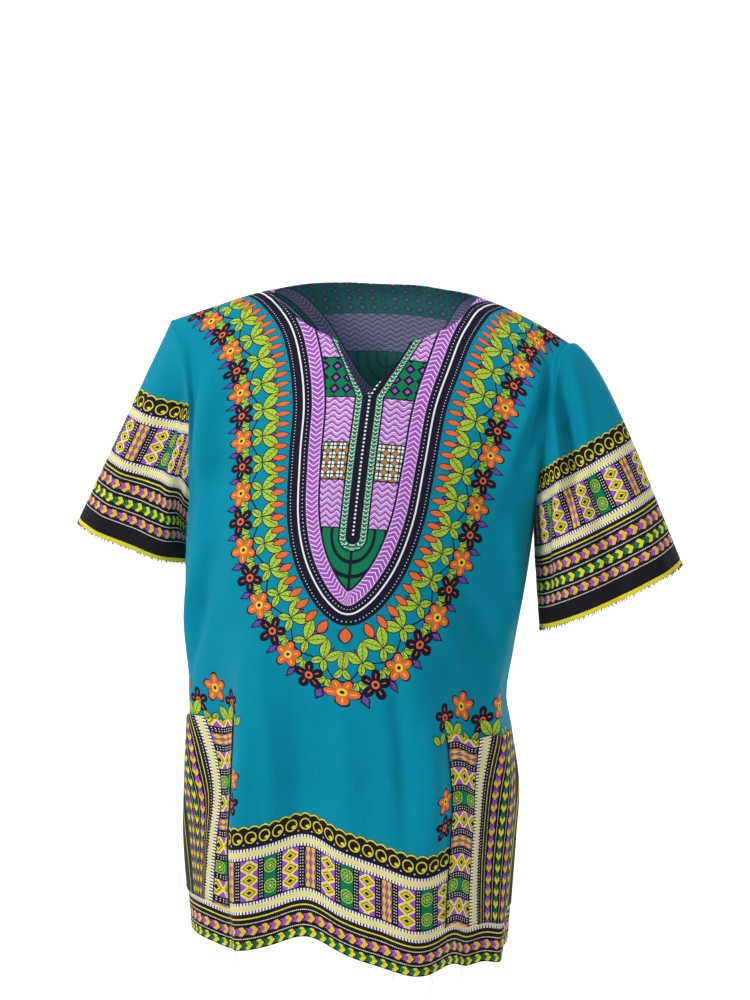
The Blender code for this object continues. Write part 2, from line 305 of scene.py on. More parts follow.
def back_neck(across):
    return neck_edge(across, BACK_NECK_DROP)


print("the slit ends, mm under the shoulder fold:", round(float(front_neck(np.array(0.0))) * LENGTH / MM))


# %% [markdown]
# ## The flat cut
#
# The print lies on the flat cloth before it is sewn, so every point needs its place on the cut: millimetres
# from the middle of the panel, measured along the cloth, and millimetres down from the shoulder fold. A
# print thrown at the shirt from the front would be simpler, but would smear at the sides and run across the
# folds.

# %% Places on the flat cut
TABLE_ACROSS = np.linspace(-1, 1, 161)
TABLE_DOWN = np.linspace(0, 1, 201)


def cut_table(face):
    """Distance along the cloth from the middle of a panel, in millimetres, at each place of a fine table."""
    points = body_points(face, TABLE_ACROSS[None, :], TABLE_DOWN[:, None])
    steps = np.linalg.norm(np.diff(points, axis=1), axis=2)
    run = np.concatenate([np.zeros((len(TABLE_DOWN), 1)), np.cumsum(steps, axis=1)], axis=1)
    return (run - run[:, [len(TABLE_ACROSS) // 2]]) / MM


CUT = {face: cut_table(face) for face in (FRONT, BACK)}


def between(table, r, c, s, t):
    """The value of a table between four of its entries."""
    top = table[r, c] * (1 - s) + table[r, c + 1] * s
    bottom = table[r + 1, c] * (1 - s) + table[r + 1, c + 1] * s
    return top * (1 - t) + bottom * t


def cut_across(face, across, down):
    """Reads the table between its lines."""
    column_place = (across + 1) / 2 * (len(TABLE_ACROSS) - 1)
    row_place = down * (len(TABLE_DOWN) - 1)
    c = np.clip(column_place.astype(int), 0, len(TABLE_ACROSS) - 2)
    r = np.clip(row_place.astype(int), 0, len(TABLE_DOWN) - 2)
    s, t = column_place - c, row_place - r
    return between(CUT[face], r, c, s, t)


CHEST_ROW = 90
print("width of the front along the cloth at the chest, mm:", round(float(np.ptp(CUT[FRONT][CHEST_ROW]))))

# %% [markdown]
# ## Small creases
#
# Cotton that has been folded and worn has soft creases between its large folds. They could be a bump in the
# material, but then they would cast no shadow and be missing from the mesh. Each line of the table is one
# trough or ridge, in millimetres from a start to an end on the flat cut, and low uneven ripples lie over
# all.

# %% Creases and ripples
Crease = namedtuple("Crease", "face x0 y0 x1 y1 half_width height")
CREASES = (
    Crease(FRONT, 205, 60, 172, 222, 9, -9.0),
    Crease(FRONT, 184, 60, 158, 262, 13, 6.5),
    Crease(FRONT, -206, 40, -198, 330, 12, -7.0),
    Crease(FRONT, -182, 100, -170, 390, 15, 6.5),
    Crease(FRONT, -152, 320, -196, 480, 11, -8.5),
    Crease(FRONT, -178, 330, -214, 470, 11, 4.0),
    Crease(FRONT, -120, 250, -124, 420, 16, 3.6),
    Crease(FRONT, -79, 440, -70, 660, 12, 6.0),
    Crease(FRONT, -45, 460, -38, 670, 13, -6.5),
    Crease(FRONT, 8, 490, 16, 660, 16, 5.0),
    Crease(FRONT, -10, 536, 74, 566, 7, 3.6),
    Crease(FRONT, 62, 420, 80, 640, 10, -7.5),
    Crease(FRONT, 99, 480, 112, 640, 13, 7.0),
    Crease(FRONT, 110, 345, 208, 450, 14, -8.0),
    Crease(FRONT, 100, 390, 170, 480, 12, 4.0),
    Crease(FRONT, 178, 270, 214, 400, 12, 5.0),
    Crease(FRONT, 152, 130, 140, 330, 15, -3.6),
    Crease(FRONT, -142, 100, -148, 280, 14, -3.6),
    Crease(FRONT, 0, 600, 8, 745, 12, 2.4),
    Crease(FRONT, 60, 640, 50, 745, 10, -3.0),
    Crease(FRONT, -30, 640, -34, 745, 12, -2.4),
    Crease(BACK, -190, 60, -150, 330, 14, -8.0),
    Crease(BACK, 190, 60, 150, 330, 14, -8.0),
    Crease(BACK, -140, 260, -170, 560, 16, 6.0),
    Crease(BACK, 140, 280, 176, 560, 15, -6.5),
    Crease(BACK, -90, 120, -60, 520, 18, 5.5),
    Crease(BACK, 100, 150, 80, 560, 18, 5.5),
    Crease(BACK, 0, 160, 10, 520, 18, -5.0),
    Crease(BACK, -60, 200, 50, 330, 14, 2.2),
    Crease(BACK, 40, 420, 60, 745, 14, -5.0),
    Crease(BACK, -70, 460, -60, 745, 13, -5.0),
    Crease(BACK, 110, 540, 120, 745, 12, 4.5),
)


Ripple = namedtuple("Ripple", "height width length seed")
BODY_RIPPLES = (Ripple(1.1, 36, 120, 3), Ripple(0.45, 17, 40, 7))
LATTICE = 64


def ripples(x, y, waves, seed_shift):
    """Smooth uneven fields, added up, each with bumps of about its width and length."""
    total = 0
    for wave in waves:
        lattice = np.random.default_rng(wave.seed + seed_shift).uniform(-1, 1, (LATTICE, LATTICE))
        u, v = x / wave.width + LATTICE // 2, y / wave.length + LATTICE // 8
        c, r = np.floor(u).astype(int), np.floor(v).astype(int)
        s, t = ease(u - c), ease(v - r)
        total = total + wave.height * between(lattice, r % (LATTICE - 1), c % (LATTICE - 1), s, t)
    return total


def crease_height(face, x, y):
    """Height of the small creases at places on the flat cut, in metres."""
    height = np.zeros(x.shape)
    for crease in CREASES:
        if crease.face != face:
            continue
        start = np.array([crease.x0, crease.y0], float)
        run = np.array([crease.x1, crease.y1], float) - start
        t = ((x - start[0]) * run[0] + (y - start[1]) * run[1]) / (run @ run)
        away = np.hypot(x - start[0] - np.clip(t, 0, 1) * run[0], y - start[1] - np.clip(t, 0, 1) * run[1])
        strength = np.sin(np.pi * np.clip(t, 0, 1)) ** 0.7
        height += crease.height * strength * np.exp(-((away / crease.half_width) ** 2))
    return (height + ripples(x, y, BODY_RIPPLES, face)) * MM


print(len(CREASES), "creases, the deepest", -min(crease.height for crease in CREASES), "mm")


# %% [markdown]
# ## Making a wall of cloth from a grid
#
# Every piece is a grid of points that gets a thickness. A Solidify modifier could give it too. Here the
# directions are chosen at the seams, so that two walls of cloth stand edge to edge there. The outside keeps
# its places on the cut for the print, and the inside keeps the same places, because wax print shows through
# on the wrong side. A last layer of places spreads both sides over one square, for baking.

# %% Grid to mesh
SHARP_ANGLE = 60
BAKE_OUTSIDE, BAKE_INSIDE, BAKE_DOWN = (0.005, 0.735), (0.76, 0.235), (0.005, 0.99)


def cell_corners(grid, back):
    """The corners of each cell of a grid of numbers, for the outside and turned over for the inside."""
    a, b = grid[:-1, :-1].ravel(), grid[:-1, 1:].ravel()
    c, d = grid[1:, 1:].ravel(), grid[1:, :-1].ravel()
    return [np.stack([a, d, c, b], 1), back + np.stack([a, b, c, d], 1)]


def set_places(mesh, layer, places):
    made = mesh.uv_layers.new(name=layer, do_init=False)
    made.data.foreach_set("uv", places.astype(np.float32).ravel())


def cloth_mesh(name, outer, direction, maps, zones, wrap=False, turned=False):
    """A closed shell from a grid of points. `maps` are named layers of two coordinates for each point, and
    `zones` gives each cell of the grid its material. A wrapped grid closes on itself, and its maps have one
    more column, so the print meets at one seam."""
    rows, columns = outer.shape[:2]
    inner = outer - THICKNESS * direction
    vertices = np.concatenate([outer.reshape(-1, 3), inner.reshape(-1, 3)])
    number = np.arange(rows * columns).reshape(rows, columns)
    if wrap:
        number = np.concatenate([number, number[:, :1]], axis=1)
    place = np.arange(number.size).reshape(number.shape)
    under = rows * columns
    quads, places = cell_corners(number, under), cell_corners(place, 0)
    zone = [zones.ravel(), zones.ravel()]
    rims = [(0, slice(None, None, -1)), (-1, slice(None))]
    if not wrap:
        rims += [(slice(None), 0), (slice(None, None, -1), -1)]
    for rim in rims:
        line, spot = number[rim], place[rim]
        quads.append(np.stack([line[:-1], line[:-1] + under, line[1:] + under, line[1:]], 1))
        places.append(np.stack([spot[:-1], spot[:-1], spot[1:], spot[1:]], 1))
        zone.append(zones[rim][: len(line) - 1])
    faces, places = np.concatenate(quads), np.concatenate(places)
    if turned:
        faces, places = faces[:, ::-1], places[:, ::-1]
    mesh = bpy.data.meshes.new(name)
    mesh.from_pydata(vertices.tolist(), [], faces.tolist())
    mesh.polygons.foreach_set("material_index", np.concatenate(zone).astype(np.int32))
    places = places.ravel()
    for layer, values in maps.items():
        set_places(mesh, layer, values.reshape(-1, 2)[places])
    spread = np.stack(
        np.meshgrid(np.linspace(0, 1, number.shape[1]), np.linspace(1, 0, rows)), axis=-1
    ).reshape(-1, 2)
    bake = spread[places]
    inside = np.repeat(np.arange(len(faces)) // zones.size == 1, 4)
    start, share = np.where(inside, np.array(BAKE_INSIDE)[:, None], np.array(BAKE_OUTSIDE)[:, None])
    bake[:, 0] = start + share * bake[:, 0]
    bake[:, 1] = BAKE_DOWN[0] + BAKE_DOWN[1] * bake[:, 1]
    set_places(mesh, "OFBake", bake)
    flag = mesh.attributes.new("inside", "FLOAT", "FACE")
    flag.data.foreach_set("value", inside[::4].astype(np.float32))
    mesh.shade_smooth()
    mesh.set_sharp_from_angle(angle=np.radians(SHARP_ANGLE))
    return add_object(name, mesh)


def dress(piece, node, materials):
    """Gives a piece its materials, and has it ride the frame in place of a solid."""
    for made in materials:
        piece.data.materials.append(made)
    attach(piece, "root")
    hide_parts(node)


print("cloth is", THICKNESS / MM, "mm thick")


# %% [markdown]
# ## The studio
#
# The shirt was photographed against plain white. A sheet of white paper makes the floor and curves up into
# the backdrop, so no line shows behind the cloth. A strong lamp on the viewer's left lights the folds from
# the side, a weak one on the right softens their shadows, one above models the shoulders, and two more keep
# the paper white.

# %% Floor, backdrop and lights


def colour(text):
    """A colour written as sRGB hex, as the linear numbers that Blender uses."""
    value = np.array([int(text[i : i + 2], 16) for i in (1, 3, 5)]) / 255
    linear = np.where(value <= 0.04045, value / 12.92, ((value + 0.055) / 1.055) ** 2.4)
    return (*linear.tolist(), 1.0)


def new_material(name, inputs):
    """A material with inputs of its shader set. Gives back the material and the shader."""
    made = bpy.data.materials.new(name)
    made.use_nodes = True
    shader = made.node_tree.nodes["Principled BSDF"]
    for socket, value in inputs.items():
        shader.inputs[socket].default_value = value
    return made, shader


FLOOR_LEVEL = -1.05
BACKDROP_AT = 4.6
BACKDROP_BEND = 2.0
BACKDROP_TOP = 5.0
bend = np.linspace(0, np.pi / 2, 25)
profile = [(-5.0, FLOOR_LEVEL)]
profile += [
    (BACKDROP_AT - BACKDROP_BEND + BACKDROP_BEND * np.sin(b), FLOOR_LEVEL + BACKDROP_BEND * (1 - np.cos(b)))
    for b in bend
]
profile += [(BACKDROP_AT, BACKDROP_TOP)]
paper_points = [(x, float(y), float(z)) for y, z in profile for x in (-8, 8)]
paper_faces = [(2 * i, 2 * i + 1, 2 * i + 3, 2 * i + 2) for i in range(len(profile) - 1)]
paper_mesh = bpy.data.meshes.new("paper_sweep")
paper_mesh.from_pydata(paper_points, [], paper_faces)
paper_mesh.shade_smooth()
paper = add_object("paper_sweep", paper_mesh)
paper_material, _ = new_material("white_studio_paper", {"Base Color": colour("#F6F6F6"), "Roughness": 0.9})
paper_mesh.materials.append(paper_material)

world = bpy.data.worlds.new("studio")
world.use_nodes = True
world.node_tree.nodes["Background"].inputs["Color"].default_value = colour("#FFFFFF")
world.node_tree.nodes["Background"].inputs["Strength"].default_value = 0.34
bpy.context.scene.world = world
bpy.context.scene.view_settings.view_transform = "Standard"

Lamp = namedtuple("Lamp", "name place aim size power")
LAMPS = (
    Lamp("left_box", (-2.3, -2.2, 1.3), (-0.05, 0.0, -0.3), 0.9, 56),
    Lamp("right_box", (1.7, -2.9, 0.5), (0.05, 0.0, -0.3), 1.4, 8),
    Lamp("top_box", (-0.3, -0.7, 2.2), (0.0, 0.0, -0.2), 1.0, 24),
    Lamp("paper_left", (-3.2, 2.0, 1.6), (-1.2, 4.6, 0.2), 2.0, 120),
    Lamp("paper_right", (3.2, 2.0, 1.6), (1.2, 4.6, 0.2), 2.0, 120),
)
for lamp in LAMPS:
    light = bpy.data.lights.new(lamp.name, "AREA")
    light.size = lamp.size
    light.energy = lamp.power
    holder = add_object(lamp.name, light)
    holder.location = lamp.place
    holder.rotation_euler = (Vector(lamp.aim) - Vector(lamp.place)).to_track_quat("-Z", "Y").to_euler()
print("lights:", [lamp.name for lamp in LAMPS])

# %% [markdown]
# ## Colours of the print
#
# Wax print has few colours: a dyed teal ground, a near-black outline, and clear purple, coral, yellow, lime
# and green laid between the outlines. Distances in the print are millimetres on the cut.

# %% Colours
TEAL = colour("#0089A4")
INK = colour("#1A1A2E")
BLACK = colour("#1D1B20")
WHITE = colour("#EFEDEE")
CREAM = colour("#E6DFAC")
YELLOW = colour("#E2D531")
GOLD = colour("#E3BC3C")
NIGHT = colour("#2C2350")
LIME = colour("#B9CB2C")
GREEN = colour("#0C7A50")
LEAF_GREEN = colour("#3FA356")
PURPLE = colour("#A552BE")
VIOLET = colour("#6C4AA0")
CORAL = colour("#E56A38")

# %% [markdown]
# ## Drawing with nodes
#
# One function adds a node. `Field` is the value of a node's output, and takes part in sums as a number
# does, so a stripe or a petal is written as the formula of its shape. A mask is 1 inside the shape and 0
# outside.

# %% Nodes as formulas


def add_node(tree, kind, *inputs, output=0, **settings):
    """Adds one node with its settings, links or sets its inputs, and gives back one output."""
    node = tree.nodes.new("ShaderNode" + kind)
    for name, value in settings.items():
        setattr(node, name, value)
    for socket, value in zip(node.inputs, inputs):
        if isinstance(value, Field):
            tree.links.new(value.socket, socket)
        elif value is not None:
            socket.default_value = value
    return Field(tree, node.outputs[output])


class Field:
    """The output of a node. Sums and comparisons with it add nodes."""

    def __init__(self, tree, socket):
        self.tree, self.socket = tree, socket

    def op(self, operation, *others):
        return add_node(self.tree, "Math", self, *others, operation=operation)

    def __add__(self, other):
        return self.op("ADD", other)

    def __sub__(self, other):
        return self.op("SUBTRACT", other)

    def __mul__(self, other):
        return self.op("MULTIPLY", other)

    def __truediv__(self, other):
        return self.op("DIVIDE", other)

    def __abs__(self):
        return self.op("ABSOLUTE")

    def __lt__(self, other):
        return self.op("LESS_THAN", other)

    def __gt__(self, other):
        return self.op("GREATER_THAN", other)

    def __and__(self, other):
        return self.op("MULTIPLY", other)

    def __or__(self, other):
        return self.op("MAXIMUM", other)

    def near(self, middle, half):
        """1 within `half` of `middle`."""
        return self.op("COMPARE", middle, half)

    def every(self, period):
        """The distance from the nearest of evenly spaced middles."""
        return self.op("WRAP", period / 2, -period / 2)


def size_of(a, b):
    """The length of the vector (a, b)."""
    return (a * a + b * b).op("SQRT")


def paint(picture, mask, ink):
    """Lays one colour on the picture where the mask is 1."""
    tree = picture.tree
    return add_node(tree, "Mix", mask, *[None] * 5, picture, ink, output=2, data_type="RGBA")


def shade(picture, tone):
    """Makes the picture lighter or darker by a tone near 1."""
    tree = picture.tree
    grey = add_node(tree, "CombineColor", tone, tone, tone)
    return add_node(
        tree, "Mix", 1.0, *[None] * 5, picture, grey, output=2, data_type="RGBA", blend_type="MULTIPLY"
    )


# %% [markdown]
# ## Common repeats
#
# Stripes, toothed bands, arrowhead chains, curls, dots, diamonds and rosettes are drawn as on the real
# cloth, which shares them with countless prints. A picture could hold them too, but a formula stays sharp
# at any size and needs no file. Each function draws one repeat, in millimetres.

# %% Repeats of the borders


def chain(picture, u, w, half, period, first, second):
    """A chain of round-backed arrowheads in two colours, each with a dark gap after it."""
    point = (u + abs(w) * 0.95).every(period)
    back = (u * (2 * np.pi / period)).op("COSINE")
    inside = abs(w) < back * (half * 0.16) + half * 0.84
    picture = paint(picture, inside & point.near(-0.22 * period, 0.20 * period), first)
    return paint(picture, inside & point.near(0.22 * period, 0.22 * period), second)


def dots(picture, u, w, radius, period, ink):
    return paint(picture, size_of(u.every(period), w) < radius, ink)


def dashes(picture, u, w, half, ink):
    """A line of fine short strokes."""
    return paint(picture, (abs(w) < half) & (abs(u.every(2.1)) < 0.72), ink)


def teeth(picture, u, w, half, ink, gap):
    """A pale braid on a dark band, with short white strokes along both edges."""
    picture = paint(picture, abs(w) < half + 0.9, gap)
    stroke = (abs(w) < half) & (abs(u.every(3.4)) < 1.0)
    picture = paint(picture, stroke, WHITE)
    picture = paint(picture, abs(w) < half * 0.50, ink)
    strand = (u + abs(w) * 1.1).every(3.4)
    return paint(picture, (abs(w) < half * 0.38) & strand.near(0.0, 0.6), YELLOW)


def curls(picture, u, w, period, ink):
    """Rings that end in a small leaf inside."""
    a = u.every(period)
    away = size_of(a, w)
    leaf = size_of(a - 2.3, (w + 2.3) * 1.25)
    picture = paint(picture, away.near(5.5, 0.6) | (leaf < 2.1), ink)
    return dots(picture, u + period / 2, w + 7.0, 0.7, period, WHITE)


def diamonds(picture, a, b, half, step, outer, inner):
    """A column of diamonds, one in the other."""
    reach = abs(a) / half + abs(b.every(step)) / (step / 2)
    picture = paint(picture, reach < 0.97, outer)
    return paint(picture, reach < 0.45, inner)


def spindles(picture, a, b, step):
    """Two columns of golden beads with purple beads beside and between them."""
    swell = (b * (2 * np.pi / step)).op("COSINE")
    picture = paint(picture, abs(a) < swell * -0.9 + 5.7, PURPLE)
    picture = paint(picture, abs(abs(a) - 2.9) < swell * 0.9 + 2.0, INK)
    return paint(picture, abs(abs(a) - 2.9) < swell * 0.9 + 1.5, GOLD)


def rosettes(picture, a, b, step, radius, petals, outer, inner, heart):
    """Round flowers in a column, with their petals drawn by one wave round the middle."""
    b = b.every(step)
    away = size_of(a, b)
    wave = (b.op("ARCTAN2", a) * petals).op("COSINE")
    picture = paint(picture, away < wave * (radius * 0.16) + radius * 0.84, outer)
    picture = paint(picture, away < wave * (radius * 0.20) + radius * 0.60, inner)
    return paint(picture, away < radius * 0.26, heart)


# %% [markdown]
# ## The border
#
# The border runs along the hem and the cuffs: a block row between two toothed bands, arrowhead chains and
# lines towards the edge, and a row of curls under a scalloped line on top. A table gives each row its
# middle and half height, in millimetres from the edge of the cloth.

# %% The border
BorderRow = namedtuple("BorderRow", "kind middle half period first second")
HEM_ROWS = (
    BorderRow("chain", 4.9, 4.2, 11.6, GREEN, YELLOW),
    BorderRow("dashes", 11.4, 0.42, 0, WHITE, None),
    BorderRow("chain", 18.7, 4.6, 12.4, PURPLE, GOLD),
    BorderRow("dashes", 26.0, 0.42, 0, WHITE, None),
    BorderRow("line", 31.0, 0.7, 0, YELLOW, None),
    BorderRow("teeth", 41.3, 5.7, 0, CREAM, NIGHT),
    BorderRow("blocks", 68.6, 20.0, 0, None, None),
    BorderRow("teeth", 94.6, 5.7, 0, CREAM, NIGHT),
    BorderRow("curls", 111.2, 6.1, 14.6, YELLOW, None),
    BorderRow("scallop", 120.0, 2.6, 11.0, YELLOW, None),
)
CUFF_ROWS = (
    BorderRow("line", 2.3, 2.3, 0, YELLOW, None),
    BorderRow("dashes", 22.4, 0.42, 0, WHITE, None),
    BorderRow("chain", 29.6, 4.4, 12.4, PURPLE, GOLD),
    BorderRow("dashes", 36.6, 0.42, 0, WHITE, None),
    BorderRow("chain", 44.2, 4.6, 12.4, GREEN, YELLOW),
    BorderRow("dashes", 51.8, 0.42, 0, WHITE, None),
    BorderRow("chain", 60.0, 5.2, 12.4, PURPLE, GOLD),
    BorderRow("dashes", 68.2, 0.42, 0, WHITE, None),
    BorderRow("line", 72.4, 0.7, 0, YELLOW, None),
    BorderRow("teeth", 82.0, 5.2, 0, CREAM, NIGHT),
    BorderRow("blocks", 109.0, 20.0, 0, None, None),
    BorderRow("teeth", 135.4, 5.4, 0, CREAM, NIGHT),
    BorderRow("curls", 150.0, 6.1, 14.6, YELLOW, None),
    BorderRow("scallop", 159.0, 2.6, 11.0, YELLOW, None),
)

Block = namedtuple("Block", "kind middle half")
BLOCK_PERIOD = 88.0
BLOCKS = (
    Block("spindles", -37.5, 6.5),
    Block("bar", -28.0, 3.0),
    Block("diamonds", -15.5, 9.5),
    Block("bar", -3.0, 3.0),
    Block("rosettes", 7.0, 7.0),
    Block("bar", 17.0, 3.0),
    Block("diamonds", 29.0, 9.0),
    Block("bar", 41.0, 3.0),
)


def block_row(picture, u, w, half):
    """Upright panels, each with its own figure, parted by dark dotted bars."""
    place = u.every(BLOCK_PERIOD)
    row = abs(w) < half
    for block in BLOCKS:
        a = place - block.middle
        cell = row & (abs(a) < block.half)
        if block.kind == "bar":
            inner = paint(picture, row, BLACK)
            inner = dots(inner, w, abs(a) - 1.2, 0.55, 3.0, WHITE)
        elif block.kind == "rosettes":
            inner = paint(picture, row, GREEN)
            away = size_of(a, (w + 10.0).every(20.0))
            inner = paint(inner, away.near(6.2, 0.5), LIME)
            inner = rosettes(inner, a, w + 10.0, 20.0, 4.6, 8, LIME, GREEN, YELLOW)
        elif block.kind == "spindles":
            inner = spindles(paint(picture, row, INK), a, w, 8.8)
        else:
            reach = abs(a) / block.half + abs(w.every(12.4)) / 6.2
            inner = paint(picture, row, PURPLE)
            inner = paint(inner, reach < 1.22, WHITE)
            inner = paint(inner, reach < 1.10, YELLOW)
            inner = paint(inner, reach.near(0.68, 0.07) | (reach < 0.34), BLACK)
        inner = paint(inner, abs(a) > block.half - 0.5, INK)
        picture = paint(picture, cell, inner)
    return picture


def border_rows(picture, u, v, rows):
    """Draws the rows of a table, in their order."""
    for row in rows:
        w = v - row.middle
        if row.kind == "line":
            picture = paint(picture, abs(w) < row.half, row.first)
        elif row.kind == "dots":
            picture = dots(picture, u, w, row.half, row.period, row.first)
        elif row.kind == "chain":
            picture = chain(picture, u, w, row.half, row.period, row.first, row.second)
        elif row.kind == "teeth":
            picture = teeth(picture, u, w, row.half, row.first, row.second)
        elif row.kind == "blocks":
            picture = block_row(picture, u, w, row.half)
        elif row.kind == "curls":
            picture = curls(picture, u, w, row.period, row.first)
        else:
            picture = dashes(picture, u, w, row.half, row.first)
    return picture


def border(picture, u, v, rows):
    """The whole border, drawn from the edge of the cloth upward to its scalloped line."""
    *lower, scallop = rows
    curve = u.every(scallop.period)
    arch = curve * curve * -0.085 + (scallop.middle + 2.4)
    picture = paint(picture, v < arch + 1.3, BLACK)
    picture = border_rows(picture, u, v, lower)
    return paint(picture, (v - arch).near(0.0, 0.75), scallop.first)


# %% [markdown]
# ## The neck ornament
#
# Bands follow the neckline and run down round the slit in a long rounded tongue, with panels of waves,
# tiles and herringbone inside, a row of coral drops round them, and a garland of blossoms, leaves and buds
# outside. The real cloth carries one maker's well-known figure here, so this one keeps its colours and
# scale alone and has a layout and motifs of its own.

# %% The neck ornament


def blossom(picture, a, b, radius, ink, heart):
    """A five-petalled flower with an outline and a round heart. The fifth petal points to larger b."""
    away = size_of(a, b)
    petals = abs((a.op("ARCTAN2", b) * 2.5).op("COSINE")).op("POWER", 0.7)
    picture = paint(picture, away < petals * (radius * 0.62) + radius * 0.38, INK)
    picture = paint(picture, away < petals * (radius * 0.60) + radius * 0.28, ink)
    picture = paint(picture, (petals > 0.992) & away.near(radius * 0.55, radius * 0.14), heart)
    picture = paint(picture, away < radius * 0.26, heart)
    return paint(picture, away < radius * 0.12, INK)


def leaves(picture, a, b, length, width):
    """A pair of lime leaves that spread upward from one point, each with a green rib."""
    fold = abs(a)
    along, across = fold * 0.62 + b * 0.79, fold * 0.79 - b * 0.62
    rib = along - length / 2
    edge = rib * rib * (-4 * width / length / length) + width
    picture = paint(picture, abs(across) < edge, INK)
    picture = paint(picture, abs(across) < edge - 1.1, LIME)
    picture = paint(picture, (abs(across) < 0.55) & (abs(rib) < length * 0.42), GREEN)
    vein = (along * 0.7 - abs(across) * 0.7).every(3.4)
    return paint(picture, (abs(across) < edge - 2.0) & (abs(vein) < 0.35), LEAF_GREEN)


GARLAND_PERIOD = 60.0


def garland(picture, t, d):
    """Blossoms in coral and ink by turns on a waving stem, with pairs of lime leaves and violet buds."""
    wave = (t * (2 * np.pi / GARLAND_PERIOD)).op("COSINE") * 5.0
    picture = paint(picture, (d + 3 - wave).near(0.0, 0.9), INK)
    step = GARLAND_PERIOD / 2
    inner, outer = t.every(step), (t + step / 2).every(step)
    reach = abs(inner) / 4.0 + abs(d + 21) / 8.0
    picture = paint(picture, reach < 1.0, INK)
    picture = paint(picture, reach < 0.7, VIOLET)
    picture = leaves(picture, inner, d + 12, 16.0, 4.8)
    picture = leaves(picture, outer, d + 30, 24.0, 6.8)
    picture = leaves(picture, outer, d - 3, 19.0, 5.6)
    reach = abs(outer) / 4.0 + abs(d - 23) / 9.0
    picture = paint(picture, reach < 1.0, INK)
    picture = paint(picture, reach < 0.7, VIOLET)
    for shift, ink, heart in ((0.0, CORAL, YELLOW), (step, INK, CORAL)):
        picture = blossom(picture, (t + shift).every(GARLAND_PERIOD), d - 13, 15.5, ink, heart)
    return picture


def drops(picture, t, d):
    """A row of almond drops, points outward."""
    a = abs(t.every(12.4))
    b = d - 22
    picture = paint(picture, a < b * b * -0.042 + 3.6, INK)
    return paint(picture, a < b * b * -0.045 + 2.8, CORAL)


def rope(picture, u, w, half, period, base, ink):
    """A cord with pale slanting strands and a dotted edge."""
    picture = paint(picture, abs(w) < half, INK)
    picture = paint(picture, abs(w) < half - 0.9, base)
    strand = (u + abs(w) * 0.8).every(period)
    picture = paint(picture, (abs(w) < half - 1.6) & strand.near(0.0, 0.10 * period), ink)
    return dots(picture, u, abs(w) - half + 1.8, 0.5, 2.6, ink)


NeckPanel = namedtuple("NeckPanel", "kind start end")
NECK_PANELS = (
    NeckPanel("herringbone", 0, 128),
    NeckPanel("diamonds", 128, 172),
    NeckPanel("waves", 172, 222),
    NeckPanel("tiles", 222, 262),
    NeckPanel("herringbone", 262, 312),
    NeckPanel("palmette", 312, 420),
)
BACK_PANELS = (
    NeckPanel("diamonds", 0, 70),
    NeckPanel("waves", 70, 120),
    NeckPanel("palmette", 120, 230),
)


def inner_panels(picture, x, y, panels):
    side = abs(x)
    for panel in panels:
        middle = (panel.start + panel.end) / 2
        cell = (y > panel.start) & (y < panel.end)
        if panel.kind == "herringbone":
            inner = paint(picture, cell, PURPLE)
            chevron = (y + abs((side - 25).every(11)) * 0.9).every(6.4)
            inner = paint(inner, chevron.near(0.0, 0.55) | chevron.near(2.0, 0.3), WHITE)
        elif panel.kind == "diamonds":
            inner = paint(picture, cell, GREEN)
            inner = diamonds(inner, (side - 25).every(13), y, 6.2, 12.6, INK, PURPLE)
        elif panel.kind == "waves":
            inner = paint(picture, cell, PURPLE)
            wave = (x * (2 * np.pi / 13)).op("SINE") * 2.2
            ripple = (y + wave).every(6.4)
            inner = paint(inner, ripple.near(0.0, 0.6) | ripple.near(2.0, 0.3), WHITE)
        elif panel.kind == "tiles":
            inner = paint(picture, cell, WHITE)
            a, b = (x - 4).every(10), (y - middle).every(10)
            away = size_of(a, b)
            petals = (a.op("ARCTAN2", b) * 4).op("COSINE")
            inner = paint(inner, away < petals * 1.2 + 4.2, GREEN)
            inner = paint(inner, away < petals * 0.8 + 2.4, CORAL)
            inner = paint(inner, abs((x + 1).every(10)) < 0.6, INK)
            inner = paint(inner, abs((y - middle + 5).every(10)) < 0.6, INK)
        else:
            inner = paint(picture, cell, GREEN)
            hill = size_of(x, (y - panel.start - 6) / 1.35)
            inner = paint(inner, hill.every(11).near(0.0, 1.5), INK)
            inner = paint(inner, (side < 1.5) & (y > panel.start + 6), INK)
        inner = paint(inner, (y - panel.start).near(0.0, 1.4), INK)
        picture = paint(picture, cell, inner)
    return picture


SLIT_END = (FRONT_NECK_DROP + SLIT_LENGTH) / MM
PLACKET_END = 322


def neck_bands(picture, x, y, t, d, panels, placket):
    """Everything from the outer navy band inward."""
    outer = d < 12.0
    bands = paint(picture, outer, INK)
    bands = dots(bands, t, d - 8.0, 0.5, 3.4, WHITE)
    bands = paint(bands, d.near(0.0, 0.9), WHITE)
    bands = dots(bands, t, d + 4.6, 0.55, 4.2, WHITE)
    bands = rope(bands, t, d + 15.0, 7.6, 5.6, PURPLE, WHITE)
    field = inner_panels(bands, x, y, panels)
    if placket:
        gap = ((y * -1 + SLIT_END) * (SLIT_HALF_WIDTH / SLIT_LENGTH)).op("MAXIMUM", 0.0)
        side = abs(x) - gap
        above = y < PLACKET_END
        low = size_of(side, (y - PLACKET_END).op("MAXIMUM", 0.0))
        field = paint(field, low < 15.4, INK)
        field = rope(field, y, low - 10.6, 4.2, 4.4, GREEN, WHITE)
        field = paint(field, (low < 1.0) & above & (abs(y.every(4.2)) < 1.0), WHITE)
    bands = paint(bands, d < -22.4, INK)
    bands = paint(bands, d < -23.6, field)
    return paint(picture, outer, bands)


# %% [markdown]
# ## Places for the ornament
#
# The outline of the ornament is a smooth curve on the flat cut. Every point of the cloth gets its distance
# from that curve and the run along it, so bands and blossoms follow the curve.

